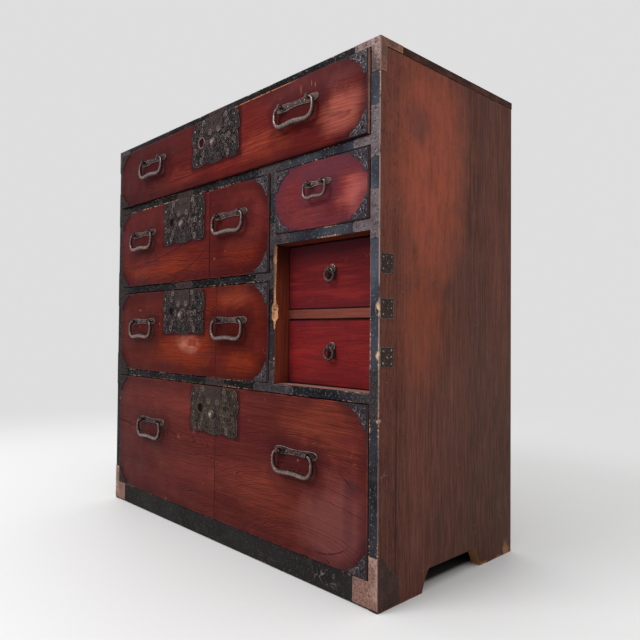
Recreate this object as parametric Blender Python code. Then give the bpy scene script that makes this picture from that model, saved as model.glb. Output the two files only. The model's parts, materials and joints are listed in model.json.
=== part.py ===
"""Choba tansu: a merchant's chest of lacquered wood with wrought iron fittings.

Units are metres and +Z is up. The front faces -Y. The origin is on the floor, under the middle of
the box round the whole chest, handles included.
"""
import math

import bmesh
import bpy
from mathutils import Matrix, Vector

# Case boards, across
SIDE_THICKNESS = 0.020
DIVIDER_THICKNESS = 0.015
LEFT_COLUMN_WIDTH = 0.615
RIGHT_COLUMN_WIDTH = 0.239

# Case boards, from the floor up
BASE_RAIL_HEIGHT = 0.046
BOTTOM_OPENING = 0.279
SHELF_THICKNESS = 0.017
LEFT_LOWER_OPENING = 0.193
LEFT_UPPER_OPENING = 0.189
TOP_OPENING = 0.141
TOP_THICKNESS = 0.014
SMALL_OPENING = 0.119
RIGHT_SHELF_THICKNESS = 0.019
BOTTOM_THICKNESS = 0.009

# Case boards, front to back
CASE_DEPTH = 0.410
TOP_OVERHANG = 0.002
BASE_RAIL_THICKNESS = 0.018
BACK_THICKNESS = 0.008
BACK_INSET = 0.002
INNER_RECESS = 0.034

# Planks of the back and the feet cut into the sides
BACK_PLANKS = 4
PLANK_GROOVE = 0.002
FOOT_LENGTH = 0.114
FOOT_SLOPE = 0.019
FOOT_CUT_HEIGHT = 0.037
FOOT_HOLLOW = 0.0016

# Softened edges and the clearances between pieces
EDGE_ROUNDING = 0.0012
SEAT_GAP = 0.0003
FLOOR_GAP = 0.001
DRAWER_SIDE_GAP = 0.001
DRAWER_TOP_GAP = 0.0015
DRAWER_BACK_GAP = 0.005

# Drawers
FRONT_THICKNESS = 0.020
BOX_WALL = 0.009
BOX_FLOOR = 0.007
BOX_LOWERED = 0.012
TOP_PROUD = 0.006
LEFT_UPPER_PROUD = 0.0035
SMALL_PROUD = 0.0025
LEFT_LOWER_PROUD = 0.0025
BOTTOM_PROUD = 0.002

# Corner irons let into the drawer fronts
CORNER_LEG = 0.037
CORNER_TIP = 0.009
CORNER_HOLLOW = 0.006
CORNER_MARGIN = 0.0015
CORNER_PROUD = 0.0010
IRON_LET_IN = 0.0005

# Corner irons of the case
CASE_IRON_THICKNESS = 0.0012
CASE_IRON_MARGIN = 0.002
TOP_IRON_LEG = 0.055
BOTTOM_IRON_REACH = 0.053
BOTTOM_IRON_HEIGHT = 0.085
BOTTOM_IRON_FLOOR_GAP = 0.004
BOTTOM_IRON_SIDE = 0.050
BOTTOM_IRON_SHOULDER = 0.014
BOTTOM_IRON_REAR_HEIGHT = 0.044

# Lock plates, their bosses and keyholes
LOCK_WIDTH = 0.180
LOCK_HEIGHT = 0.101
LOCK_THICKNESS = 0.0016
LOCK_DROP = 0.0005
PANEL_WIDTH = 0.062
PANEL_HEIGHT = 0.040
PANEL_ARCH = 0.009
PANEL_RAISE = 0.0012
BOSS_RADIUS = 0.011
BOSS_HEIGHT = 0.008
BOSS_RISE = 0.043
KEYHOLE_OFFSET = 0.049
KEYHOLE_RISE = 0.052
KEYHOLE_RADIUS = 0.0075
KEYHOLE_RIM = 0.0028
KEYHOLE_RAISE = 0.0010

# Lobes of the lock plates: how far they swell, and how far inside the plate's box each one ends
LOBE_SWELL = 0.0070
FOOT_LOBE_INSET = 0.0558
FOOT_CORNER_INSET = 0.020
FOOT_CORNER_RISE = 0.0012
FOOT_CORNER_SWELL = 0.0019
SIDE_CORNER_INSET = 0.004
SIDE_CORNER_RISE = 0.017
SIDE_CORNER_SWELL = 0.0013
CORNER_ROUND = 0.0047
CORNER_LOBE_INSET = 0.0092
CORNER_LOBE_RISE = 0.050
SIDE_LOBE_INSET = 0.0050
SIDE_LOBE_DROP = 0.02323
HEAD_LOBE_INSET = 0.0261

# Lock bolts in their pockets
BOLT_WIDTH = 0.030
BOLT_THICKNESS = 0.006
BOLT_HEIGHT = 0.045
BOLT_DROP = 0.001
BOLT_TRAVEL = 0.008
BOLT_NOTCH = 0.010
BOLT_CLEARANCE = 0.0004
BOLT_BACK_WALL = 0.003

# Large bail handles
BAIL_WIDTH = 0.113
BAIL_DROP = 0.044
BAIL_TOP_BEND = 0.008
BAIL_GRIP_BEND = 0.019
BAIL_GRIP_RISE = 0.0022
BAIL_GRIP_RADIUS = 0.0056
BAIL_END_RADIUS = 0.0028
POST_SPACING = 0.077
HANDLE_PLATE_LENGTH = 0.122
HANDLE_PLATE_HEIGHT = 0.014
HANDLE_WAIST = 0.007
HANDLE_SWELL = 0.012

# Small bail handle
SMALL_BAIL_WIDTH = 0.055
SMALL_BAIL_DROP = 0.0255
SMALL_BAIL_TOP_BEND = 0.005
SMALL_BAIL_GRIP_BEND = 0.011
SMALL_BAIL_GRIP_RISE = 0.0012
SMALL_BAIL_GRIP_RADIUS = 0.0034
SMALL_BAIL_END_RADIUS = 0.0020
SMALL_POST_SPACING = 0.036
SMALL_HANDLE_PLATE_LENGTH = 0.068
SMALL_HANDLE_PLATE_HEIGHT = 0.010
SMALL_HANDLE_WAIST = 0.0075
SMALL_HANDLE_SWELL = 0.008

# Eye posts that carry the bails and rings
HANDLE_PLATE_THICKNESS = 0.0015
HANDLE_PLATE_BOW = 0.2
POST_REACH = 0.0085
EYE_WALL = 0.0023
EYE_NECK = 0.75
EYE_WIDTH = 0.006
EYE_CLEARANCE = 0.0005
BAIL_TAIL = 0.0035

# Ring pulls of the inner drawers
RING_RADIUS = 0.011
RING_WIRE_RADIUS = 0.0021
RING_EYE_WIDTH = 0.004
RING_CLEARANCE = 0.0007
RING_POST_REACH = 0.0065
RING_PLATE_RADIUS = 0.0085
RING_RISE = 0.011

# How far each handle sits above the middle of its drawer, and in from midway to the drawer's end
TOP_HANDLE_RISE = 0.0245
LEFT_UPPER_HANDLE_RISE = 0.0335
LEFT_LOWER_HANDLE_RISE = 0.0245
BOTTOM_HANDLE_RISE = 0.0385
SMALL_HANDLE_RISE = 0.0185
LEFT_HANDLE_INSET = 0.015

# Facets of round shapes
ARC_STEPS = 5
EYE_STEPS = 9
HOLE_SIDES = 16
RING_STEPS = 24
RING_SIDES = 8
BEND_STEPS = 4

# Layout worked out from the sizes above
CASE_WIDTH = 2 * SIDE_THICKNESS + DIVIDER_THICKNESS + LEFT_COLUMN_WIDTH + RIGHT_COLUMN_WIDTH
FRONT_REACH = (
    TOP_PROUD + SEAT_GAP + HANDLE_PLATE_THICKNESS + POST_REACH
    + max(BAIL_GRIP_RADIUS, BAIL_END_RADIUS + EYE_CLEARANCE + EYE_WALL)
)
FRONT_Y = (FRONT_REACH - CASE_DEPTH - TOP_OVERHANG) / 2
REAR_Y = FRONT_Y + CASE_DEPTH
BACK_Y = REAR_Y - BACK_INSET - BACK_THICKNESS
BOLT_Y = FRONT_THICKNESS - BOLT_BACK_WALL - BOLT_CLEARANCE - BOLT_THICKNESS / 2

LEFT_X = -CASE_WIDTH / 2
RIGHT_X = CASE_WIDTH / 2
LEFT_INNER_X = LEFT_X + SIDE_THICKNESS
RIGHT_INNER_X = RIGHT_X - SIDE_THICKNESS
DIVIDER_LEFT_X = LEFT_INNER_X + LEFT_COLUMN_WIDTH
DIVIDER_RIGHT_X = DIVIDER_LEFT_X + DIVIDER_THICKNESS

LOWER_SHELF_Z = BASE_RAIL_HEIGHT + BOTTOM_OPENING
LEFT_LOWER_Z = LOWER_SHELF_Z + SHELF_THICKNESS
MIDDLE_SHELF_Z = LEFT_LOWER_Z + LEFT_LOWER_OPENING
LEFT_UPPER_Z = MIDDLE_SHELF_Z + SHELF_THICKNESS
UPPER_SHELF_Z = LEFT_UPPER_Z + LEFT_UPPER_OPENING
TOP_OPENING_Z = UPPER_SHELF_Z + SHELF_THICKNESS
TOP_BOARD_Z = TOP_OPENING_Z + TOP_OPENING
CASE_HEIGHT = TOP_BOARD_Z + TOP_THICKNESS
SMALL_Z = UPPER_SHELF_Z - SMALL_OPENING
RIGHT_SHELF_Z = SMALL_Z - RIGHT_SHELF_THICKNESS
INNER_OPENING = (RIGHT_SHELF_Z - LEFT_LOWER_Z - SHELF_THICKNESS) / 2
INNER_SHELF_Z = LEFT_LOWER_Z + INNER_OPENING
INNER_UPPER_Z = INNER_SHELF_Z + SHELF_THICKNESS


# Meshes

def closed_mesh(bm, name):
    """Turn a closed bmesh into a mesh with its faces pointing out."""
    bmesh.ops.recalc_face_normals(bm, faces=bm.faces[:])
    mesh = bpy.data.meshes.new(name)
    bm.to_mesh(mesh)
    bm.free()
    return mesh


def board(low, high, rounding=EDGE_ROUNDING):
    """A plank between two opposite corners, its edges softened with a plane."""
    size = Vector(high) - Vector(low)
    middle = (Vector(high) + Vector(low)) / 2
    bm = bmesh.new()
    bmesh.ops.create_cube(bm, size=1.0, matrix=Matrix.Translation(middle) @ Matrix.Diagonal((*size, 1.0)))
    if rounding:
        bmesh.ops.bevel(bm, geom=bm.edges[:], offset=rounding, segments=1, profile=0.5, affect="EDGES")
    return closed_mesh(bm, "board")


def prism(points, along):
    """A flat outline extruded along a vector."""
    bm = bmesh.new()
    face = bm.faces.new([bm.verts.new(point) for point in points])
    grown = bmesh.ops.extrude_face_region(bm, geom=[face])["geom"]
    moved = [item for item in grown if isinstance(item, bmesh.types.BMVert)]
    bmesh.ops.translate(bm, verts=moved, vec=along)
    return closed_mesh(bm, "prism")


def plate(outline, back, front):
    """Sheet iron cut to an outline in X and Z, between two places along Y."""
    return prism([(x, back, z) for x, z in outline], (0, front - back, 0))


def cylinder(centre, axis, radius, length, sides):
    """A plain round bar about an axis through its centre."""
    turn = Vector((0, 0, 1)).rotation_difference(Vector(axis)).to_matrix().to_4x4()
    bm = bmesh.new()
    bmesh.ops.create_cone(
        bm, cap_ends=True, segments=sides, radius1=radius, radius2=radius, depth=length,
        matrix=Matrix.Translation(centre) @ turn,
    )
    return closed_mesh(bm, "cylinder")


def turned(profile, axis_point, axis, steps):
    """A profile spun once round an axis, its ends welded where they meet the axis."""
    bm = bmesh.new()
    verts = [bm.verts.new(point) for point in profile]
    edges = [bm.edges.new(pair) for pair in zip(verts, verts[1:])]
    bmesh.ops.spin(
        bm, geom=verts + edges, cent=axis_point, axis=axis, angle=math.tau, steps=steps, use_merge=True,
    )
    bmesh.ops.remove_doubles(bm, verts=bm.verts[:], dist=1e-6)
    return closed_mesh(bm, "turned")


def combined(base, tool, operation):
    """Fuse one mesh with another, or cut it by the other."""
    pieces = [bpy.data.objects.new("combined", mesh) for mesh in (base, tool)]
    for piece in pieces:
        bpy.context.scene.collection.objects.link(piece)
    modifier = pieces[0].modifiers.new("combine", "BOOLEAN")
    modifier.operation = operation
    modifier.object = pieces[1]
    evaluated = pieces[0].evaluated_get(bpy.context.evaluated_depsgraph_get())
    mesh = bpy.data.meshes.new_from_object(evaluated)
    for piece in pieces:
        bpy.data.objects.remove(piece)
    return mesh


def fused(base, *tools):
    for tool in tools:
        base = combined(base, tool, "UNION")
    return base


def cut(base, *tools):
    for tool in tools:
        base = combined(base, tool, "DIFFERENCE")
    return base


def smoothed(mesh, angle=math.radians(35)):
    """Shade a round piece smooth and keep its real edges sharp."""
    mesh.shade_smooth()
    mesh.set_sharp_from_angle(angle=angle)
    return mesh


def rounded_outline(knots, steps=ARC_STEPS):
    """Join knots (u, v, bow): the stretch after a knot is an arc that bows out by bow, or straight.

    The knots run anticlockwise, and a negative bow makes a hollow.
    """
    outline = []
    for (u, v, bow), (next_u, next_v, _) in zip(knots, knots[1:] + knots[:1]):
        outline.append((u, v))
        if bow == 0:
            continue
        start = Vector((u, v))
        chord = Vector((next_u, next_v)) - start
        half = chord.length / 2
        way = chord.normalized()
        outward = Vector((way.y, -way.x))
        radius = (half ** 2 + bow ** 2) / (2 * abs(bow))
        half_angle = 2 * math.atan2(abs(bow), half)
        for step in range(1, steps):
            angle = half_angle * (2 * step / steps - 1)
            rise = math.copysign(radius * (math.cos(angle) - math.cos(half_angle)), bow)
            point = start + way * (half + radius * math.sin(angle)) + outward * rise
            outline.append(tuple(point))
    return outline


def arc(centre, radius, start, end, steps):
    """Points of an arc in a plane, with its angles in degrees."""
    angles = [math.radians(start + (end - start) * step / steps) for step in range(steps + 1)]
    return [(centre[0] + radius * math.cos(a), centre[1] + radius * math.sin(a)) for a in angles]


# Finishes

def finish(name, colour, roughness, metallic):
    material = bpy.data.materials.new(name)
    material.use_nodes = True
    shader = material.node_tree.nodes["Principled BSDF"]
    shader.inputs["Base Color"].default_value = (*colour, 1.0)
    shader.inputs["Roughness"].default_value = roughness
    shader.inputs["Metallic"].default_value = metallic
    return material


def make_finishes():
    return {
        "front_lacquer": finish("front_lacquer", (0.20, 0.035, 0.018), 0.40, 0.0),
        "inner_lacquer": finish("inner_lacquer", (0.18, 0.020, 0.014), 0.38, 0.0),
        "side_lacquer": finish("side_lacquer", (0.13, 0.040, 0.022), 0.45, 0.0),
        "black_lacquer": finish("black_lacquer", (0.020, 0.018, 0.020), 0.42, 0.0),
        "brown_wood": finish("brown_wood", (0.16, 0.065, 0.030), 0.60, 0.0),
        "bare_wood": finish("bare_wood", (0.42, 0.27, 0.15), 0.75, 0.0),
        "wrought_iron": finish("wrought_iron", (0.085, 0.070, 0.065), 0.50, 0.85),
        "rusty_iron": finish("rusty_iron", (0.20, 0.13, 0.10), 0.60, 0.60),
    }


# Objects

def add(name, mesh, material, location=(0, 0, 0), parent=None):
    """Place a node. Its mesh is drawn about its own origin, which lies at the location."""
    if material.name not in mesh.materials:
        mesh.materials.clear()
        mesh.materials.append(material)
    piece = bpy.data.objects.new(name, mesh)
    piece.location = location
    piece.parent = parent
    bpy.context.scene.collection.objects.link(piece)
    return piece


def add_origin(name, location):
    """An empty that carries the pieces of one drawer."""
    origin = bpy.data.objects.new(name, None)
    origin.location = location
    bpy.context.scene.collection.objects.link(origin)
    return origin


# Case

def side_panel(side):
    """A side board with its feet sawn out of the lower edge. side is -1 on the left, 1 on the right."""
    front_cut = FRONT_Y + FOOT_LENGTH
    rear_cut = REAR_Y - FOOT_LENGTH
    outline = rounded_outline([
        (FRONT_Y, 0, 0),
        (front_cut, 0, -FOOT_HOLLOW),
        (front_cut + FOOT_SLOPE, FOOT_CUT_HEIGHT, 0),
        (rear_cut - FOOT_SLOPE, FOOT_CUT_HEIGHT, -FOOT_HOLLOW),
        (rear_cut, 0, 0),
        (REAR_Y, 0, 0),
        (REAR_Y, TOP_BOARD_Z - SEAT_GAP, 0),
        (FRONT_Y, TOP_BOARD_Z - SEAT_GAP, 0),
    ])
    inner = side * (CASE_WIDTH / 2 - SIDE_THICKNESS)
    mesh = prism([(inner, y, z) for y, z in outline], (side * SIDE_THICKNESS, 0, 0))
    bm = bmesh.new()
    bm.from_mesh(mesh)
    long_edges = [edge for edge in bm.edges if edge.calc_length() > FOOT_LENGTH * 2]
    bmesh.ops.bevel(bm, geom=long_edges, offset=EDGE_ROUNDING, segments=1, profile=0.5, affect="EDGES")
    return closed_mesh(bm, "side_panel")


def back_panel():
    """Planks side by side: one sheet with a groove in its outer face at each joint."""
    left = LEFT_INNER_X + SEAT_GAP
    right = RIGHT_INNER_X - SEAT_GAP
    outer = BACK_Y + BACK_THICKNESS
    outline = [(left, BACK_Y), (right, BACK_Y), (right, outer)]
    for joint in range(BACK_PLANKS - 1, 0, -1):
        middle = left + (right - left) * joint / BACK_PLANKS
        outline += [
            (middle + PLANK_GROOVE, outer), (middle, outer - PLANK_GROOVE), (middle - PLANK_GROOVE, outer),
        ]
    outline.append((left, outer))
    height = TOP_BOARD_Z - SEAT_GAP - FLOOR_GAP
    return prism([(x, y, FLOOR_GAP) for x, y in outline], (0, 0, height))


def shelf(left, right, low, thickness, front=FRONT_Y):
    """A board between two uprights, from the front to the back panel."""
    return board((left + SEAT_GAP, front, low), (right - SEAT_GAP, BACK_Y - SEAT_GAP, low + thickness))


def bolt_mortise(drawer):
    """The slot in the board above a drawer that its lock bolt rises into."""
    middle_y = drawer["front_y"] + BOLT_Y
    top = drawer["high"]
    half = BOLT_WIDTH / 2 + 2 * BOLT_CLEARANCE
    deep = BOLT_THICKNESS / 2 + 2 * BOLT_CLEARANCE
    low = (drawer["middle_x"] - half, middle_y - deep, top - DRAWER_TOP_GAP)
    high = (drawer["middle_x"] + half, middle_y + deep, top + BOLT_TRAVEL)
    return board(low, high, 0)


def build_case(finishes, drawers):
    black = finishes["black_lacquer"]
    side = finishes["side_lacquer"]
    brown = finishes["brown_wood"]
    bare = finishes["bare_wood"]

    add("side_panel_left", side_panel(-1), side)
    add("side_panel_right", side_panel(1), side)
    top = board((LEFT_X, FRONT_Y, TOP_BOARD_Z), (RIGHT_X, REAR_Y + TOP_OVERHANG, CASE_HEIGHT))
    add("top_board", cut(top, bolt_mortise(drawers["top_drawer"])), black)
    add("back_panel", back_panel(), bare)

    rail = board(
        (LEFT_INNER_X + SEAT_GAP, FRONT_Y, FLOOR_GAP),
        (RIGHT_INNER_X - SEAT_GAP, FRONT_Y + BASE_RAIL_THICKNESS, BASE_RAIL_HEIGHT),
    )
    add("base_rail", rail, black)
    bottom_front = FRONT_Y + BASE_RAIL_THICKNESS + SEAT_GAP
    bottom_low = BASE_RAIL_HEIGHT - BOTTOM_THICKNESS
    add("bottom_board", shelf(LEFT_INNER_X, RIGHT_INNER_X, bottom_low, BOTTOM_THICKNESS, bottom_front), bare)

    lower = shelf(LEFT_INNER_X, RIGHT_INNER_X, LOWER_SHELF_Z, SHELF_THICKNESS)
    add("lower_shelf", cut(lower, bolt_mortise(drawers["bottom_drawer"])), black)
    middle = shelf(LEFT_INNER_X, DIVIDER_LEFT_X, MIDDLE_SHELF_Z, SHELF_THICKNESS)
    add("middle_shelf", cut(middle, bolt_mortise(drawers["left_lower_drawer"])), black)
    upper = shelf(LEFT_INNER_X, RIGHT_INNER_X, UPPER_SHELF_Z, SHELF_THICKNESS)
    add("upper_shelf", cut(upper, bolt_mortise(drawers["left_upper_drawer"])), black)
    right = shelf(DIVIDER_RIGHT_X, RIGHT_INNER_X, RIGHT_SHELF_Z, RIGHT_SHELF_THICKNESS)
    add("right_shelf", right, black)
    divider = board(
        (DIVIDER_LEFT_X, FRONT_Y, LEFT_LOWER_Z + SEAT_GAP),
        (DIVIDER_RIGHT_X, BACK_Y - SEAT_GAP, UPPER_SHELF_Z - SEAT_GAP),
    )
    add("divider", divider, black)
    inner = shelf(DIVIDER_RIGHT_X, RIGHT_INNER_X, INNER_SHELF_Z, SHELF_THICKNESS, FRONT_Y + INNER_RECESS)
    add("inner_shelf", inner, brown)


# Case corner irons, each one sheet folded round the front corner of a side

def folded_iron(side, front_outline, side_outline):
    """Fuse the leaf on the front with the leaf on the side. Outlines run inwards from the corner and up."""
    front_face = FRONT_Y - SEAT_GAP
    side_face = CASE_WIDTH / 2 + SEAT_GAP
    outer = side_face + CASE_IRON_THICKNESS
    front_leaf = plate(
        [(side * (outer - inward), up) for inward, up in front_outline],
        front_face, front_face - CASE_IRON_THICKNESS,
    )
    side_front = front_face - CASE_IRON_THICKNESS
    side_points = [(side * side_face, side_front + back, up) for back, up in side_outline]
    side_leaf = prism(side_points, (side * CASE_IRON_THICKNESS, 0, 0))
    return fused(front_leaf, side_leaf)


def angle_outline(across, up, across_width, up_width, corner):
    """An L with its corner at the given height: one arm runs across, the other up, or down if negative."""
    turn = math.copysign(1, up)
    return [
        (0, corner), (across, corner), (across, corner + turn * across_width),
        (up_width, corner + turn * across_width), (up_width, corner + up), (0, corner + up),
    ]


def build_corner_irons(finishes):
    stile = SIDE_THICKNESS - CASE_IRON_MARGIN
    top_band = TOP_THICKNESS - CASE_IRON_MARGIN / 2
    top_corner = CASE_HEIGHT - CASE_IRON_MARGIN / 2
    bottom_band = BASE_RAIL_HEIGHT - BOTTOM_IRON_FLOOR_GAP - CASE_IRON_MARGIN / 2
    top_front = angle_outline(TOP_IRON_LEG, -TOP_IRON_LEG, top_band, stile, top_corner)
    top_side = angle_outline(TOP_IRON_LEG, -TOP_IRON_LEG, stile, stile, top_corner)
    low = BOTTOM_IRON_FLOOR_GAP
    bottom_front = angle_outline(BOTTOM_IRON_REACH, BOTTOM_IRON_HEIGHT - low, bottom_band, stile, low)
    bottom_side = [
        (0, low), (BOTTOM_IRON_SIDE, low), (BOTTOM_IRON_SIDE, BOTTOM_IRON_REAR_HEIGHT),
        (BOTTOM_IRON_SHOULDER, BOTTOM_IRON_HEIGHT), (0, BOTTOM_IRON_HEIGHT),
    ]
    for name, side in (("left", -1), ("right", 1)):
        for end, front, leaf in (("top", top_front, top_side), ("bottom", bottom_front, bottom_side)):
            add(f"corner_iron_{end}_{name}", folded_iron(side, front, leaf), finishes["rusty_iron"])


# Drawers

def opening(left, right, low, height, proud):
    """A drawer's place in the case, with its front face and its outer sizes."""
    return {
        "middle_x": (left + right) / 2,
        "width": right - left - 2 * DRAWER_SIDE_GAP,
        "front_y": FRONT_Y - proud,
        "low": low + SEAT_GAP,
        "high": low + height,
        "height": height - SEAT_GAP - DRAWER_TOP_GAP,
    }


def drawer_openings():
    left = (LEFT_INNER_X, DIVIDER_LEFT_X)
    right = (DIVIDER_RIGHT_X, RIGHT_INNER_X)
    whole = (LEFT_INNER_X, RIGHT_INNER_X)
    return {
        "top_drawer": opening(*whole, TOP_OPENING_Z, TOP_OPENING, TOP_PROUD),
        "left_upper_drawer": opening(*left, LEFT_UPPER_Z, LEFT_UPPER_OPENING, LEFT_UPPER_PROUD),
        "small_drawer": opening(*right, SMALL_Z, SMALL_OPENING, SMALL_PROUD),
        "left_lower_drawer": opening(*left, LEFT_LOWER_Z, LEFT_LOWER_OPENING, LEFT_LOWER_PROUD),
        "bottom_drawer": opening(*whole, BASE_RAIL_HEIGHT, BOTTOM_OPENING, BOTTOM_PROUD),
        "inner_upper_drawer": opening(*right, INNER_UPPER_Z, INNER_OPENING, -INNER_RECESS),
        "inner_lower_drawer": opening(*right, LEFT_LOWER_Z, INNER_OPENING, -INNER_RECESS),
    }


def drawer_front(drawer):
    """A front board drawn about the middle of its lower front edge."""
    half = drawer["width"] / 2
    return board((-half, 0, 0), (half, FRONT_THICKNESS, drawer["height"]))


def corner_irons(drawer):
    """Four small corner plates with a hollow long side, let into the face of a drawer front."""
    leg = CORNER_LEG
    tip = CORNER_TIP
    knots = [(0, 0, 0), (leg, 0, 0), (leg, tip, -CORNER_HOLLOW), (tip, leg, 0), (0, leg, 0)]
    outline = rounded_outline(knots)
    half = drawer["width"] / 2 - CORNER_MARGIN
    plates = []
    for side in (-1, 1):
        for start, up in ((CORNER_MARGIN, 1), (drawer["height"] - CORNER_MARGIN, -1)):
            points = [(side * (half - u), start + up * v) for u, v in outline]
            plates.append(plate(points, IRON_LET_IN, -CORNER_PROUD))
    return plates


def bolt_pocket(drawer):
    """The pocket cut into a front from its upper edge, which holds the lock bolt."""
    half = BOLT_WIDTH / 2 + BOLT_CLEARANCE
    deep = BOLT_THICKNESS / 2 + BOLT_CLEARANCE
    low = drawer["height"] - BOLT_DROP - BOLT_HEIGHT - SEAT_GAP
    return board((-half, BOLT_Y - deep, low), (half, BOLT_Y + deep, drawer["height"] + BOLT_TRAVEL), 0)


def drawer_box(drawer):
    """Two sides, a back and a floor, open at the top and closed in front by the drawer front."""
    half = drawer["width"] / 2
    front = FRONT_THICKNESS + SEAT_GAP
    rear = BACK_Y - drawer["front_y"] - DRAWER_BACK_GAP
    high = drawer["height"] - BOX_LOWERED
    block = board((-half, front, 0), (half, rear, high), 0)
    hollow = board((-half + BOX_WALL, 0, BOX_FLOOR), (half - BOX_WALL, rear - BOX_WALL, drawer["height"]), 0)
    return cut(block, hollow)


# Locks

def lock_plate():
    """A lobed plate with an arched raised panel, a boss and a rimmed keyhole, drawn from its lower edge."""
    half = LOCK_WIDTH / 2
    half_knots = [
        (half - FOOT_LOBE_INSET, LOBE_SWELL, FOOT_CORNER_SWELL),
        (half - FOOT_CORNER_INSET, FOOT_CORNER_RISE, CORNER_ROUND),
        (half - SIDE_CORNER_INSET, SIDE_CORNER_RISE, SIDE_CORNER_SWELL),
        (half - CORNER_LOBE_INSET, CORNER_LOBE_RISE, LOBE_SWELL),
        (half - SIDE_LOBE_INSET, LOCK_HEIGHT - SIDE_LOBE_DROP, LOBE_SWELL),
        (half - HEAD_LOBE_INSET, LOCK_HEIGHT, 0),
    ]
    knots = half_knots[:]
    bows = [bow for _, _, bow in half_knots[:-1]]
    for (x, z, _), bow in zip(reversed(half_knots), [*reversed(bows), LOBE_SWELL]):
        knots.append((-x, z, bow))
    front = -SEAT_GAP - LOCK_THICKNESS
    sheet = plate(rounded_outline(knots), -SEAT_GAP, front)

    seat = front + LOCK_THICKNESS / 2
    arch_z = LOCK_HEIGHT - PANEL_HEIGHT
    head_z = LOCK_HEIGHT - LOCK_THICKNESS
    panel = rounded_outline([
        (-PANEL_WIDTH / 2, arch_z, -PANEL_ARCH), (PANEL_WIDTH / 2, arch_z, 0),
        (PANEL_WIDTH / 2, head_z, 0), (-PANEL_WIDTH / 2, head_z, 0),
    ])
    raised = plate(panel, seat, front - PANEL_RAISE)

    dome = [(BOSS_RADIUS * math.cos(a), BOSS_HEIGHT * math.sin(a)) for a in
            (math.radians(90 * step / ARC_STEPS) for step in range(ARC_STEPS + 1))]
    profile = [(0, seat, BOSS_RISE), (BOSS_RADIUS, seat, BOSS_RISE)]
    profile += [(radius, front - height, BOSS_RISE) for radius, height in dome]
    boss = turned(profile, (0, 0, BOSS_RISE), (0, 1, 0), HOLE_SIDES)

    keyhole = (-KEYHOLE_OFFSET, front, KEYHOLE_RISE)
    rim_length = 2 * KEYHOLE_RAISE
    rim = cylinder(keyhole, (0, 1, 0), KEYHOLE_RADIUS + KEYHOLE_RIM, rim_length, HOLE_SIDES)
    hole = cylinder(keyhole, (0, 1, 0), KEYHOLE_RADIUS, rim_length + 4 * LOCK_THICKNESS, HOLE_SIDES)
    return smoothed(cut(fused(sheet, raised, boss, rim), hole))


def lock_bolt():
    """A flat iron tongue with a notch in its foot for the key's bit, drawn from the middle of its foot."""
    half = BOLT_WIDTH / 2
    outline = [
        (-half, 0), (-BOLT_NOTCH / 2, 0), (-BOLT_NOTCH / 2, BOLT_NOTCH), (BOLT_NOTCH / 2, BOLT_NOTCH),
        (BOLT_NOTCH / 2, 0), (half, 0), (half, BOLT_HEIGHT), (-half, BOLT_HEIGHT),
    ]
    return plate(outline, BOLT_THICKNESS / 2, -BOLT_THICKNESS / 2)


# Handles

def eye_post(x, wire_radius, width, clearance, reach):
    """An eye on a short neck, with the axis of its hole along X at Z = 0. Returns the post and its hole."""
    hole_radius = wire_radius + clearance
    head = hole_radius + EYE_WALL
    neck = EYE_NECK * head
    plate_front = -SEAT_GAP - HANDLE_PLATE_THICKNESS
    axis_y = plate_front - reach
    shoulder = axis_y + math.sqrt(head ** 2 - neck ** 2)
    foot = plate_front + HANDLE_PLATE_THICKNESS / 2
    bow = shoulder - axis_y + head
    knots = [(foot, -neck, 0), (foot, neck, 0), (shoulder, neck, bow), (shoulder, -neck, 0)]
    outline = rounded_outline(knots, EYE_STEPS)
    post = prism([(x - width / 2, y, z) for y, z in outline], (width, 0, 0))
    hole = cylinder((x, axis_y, 0), (1, 0, 0), hole_radius, 2 * width, HOLE_SIDES)
    return post, hole


def pivot_y(reach):
    """How far in front of a drawer's face the pivot of its bail or ring lies."""
    return -SEAT_GAP - HANDLE_PLATE_THICKNESS - reach


def handle_plate(length, height, waist, swell, spacing, wire_radius):
    """A bar-shaped back plate with flared ends and a swelling in the middle, and its two eye posts."""
    hollow = HANDLE_PLATE_BOW * (height - waist)
    end = HANDLE_PLATE_BOW * height
    belly = HANDLE_PLATE_BOW * waist
    far = length / 2 - end
    knots = [
        (-far, -height / 2, -hollow), (-swell, -waist / 2, belly), (swell, -waist / 2, -hollow),
        (far, -height / 2, end), (far, height / 2, -hollow), (swell, waist / 2, belly),
        (-swell, waist / 2, -hollow), (-far, height / 2, end),
    ]
    sheet = plate(rounded_outline(knots), -SEAT_GAP, -SEAT_GAP - HANDLE_PLATE_THICKNESS)
    posts = [
        eye_post(side * spacing / 2, wire_radius, EYE_WIDTH, EYE_CLEARANCE, POST_REACH) for side in (-1, 1)
    ]
    body = fused(sheet, *[post for post, _ in posts])
    return smoothed(cut(body, *[hole for _, hole in posts]))


def bail_half(width, drop, top_bend, grip_bend, grip_rise, spacing):
    """The right half of a bail's centre line, from its tail inside the eye to the middle of its grip."""
    half = width / 2
    tail = spacing / 2 - EYE_WIDTH / 2 - BAIL_TAIL
    points = [(tail, 0), ((tail + half - top_bend) / 2, 0)]
    points += arc((half - top_bend, -top_bend), top_bend, 90, 0, BEND_STEPS)
    points += arc((half - grip_bend, grip_bend - drop), grip_bend, 0, -90, BEND_STEPS + 1)
    grip_end = half - grip_bend
    for step in (1, 2, 3):
        share = step / 3
        rise = grip_rise * (1 - math.cos(math.pi * share)) / 2
        points.append((grip_end * (1 - share), rise - drop))
    return points


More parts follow.
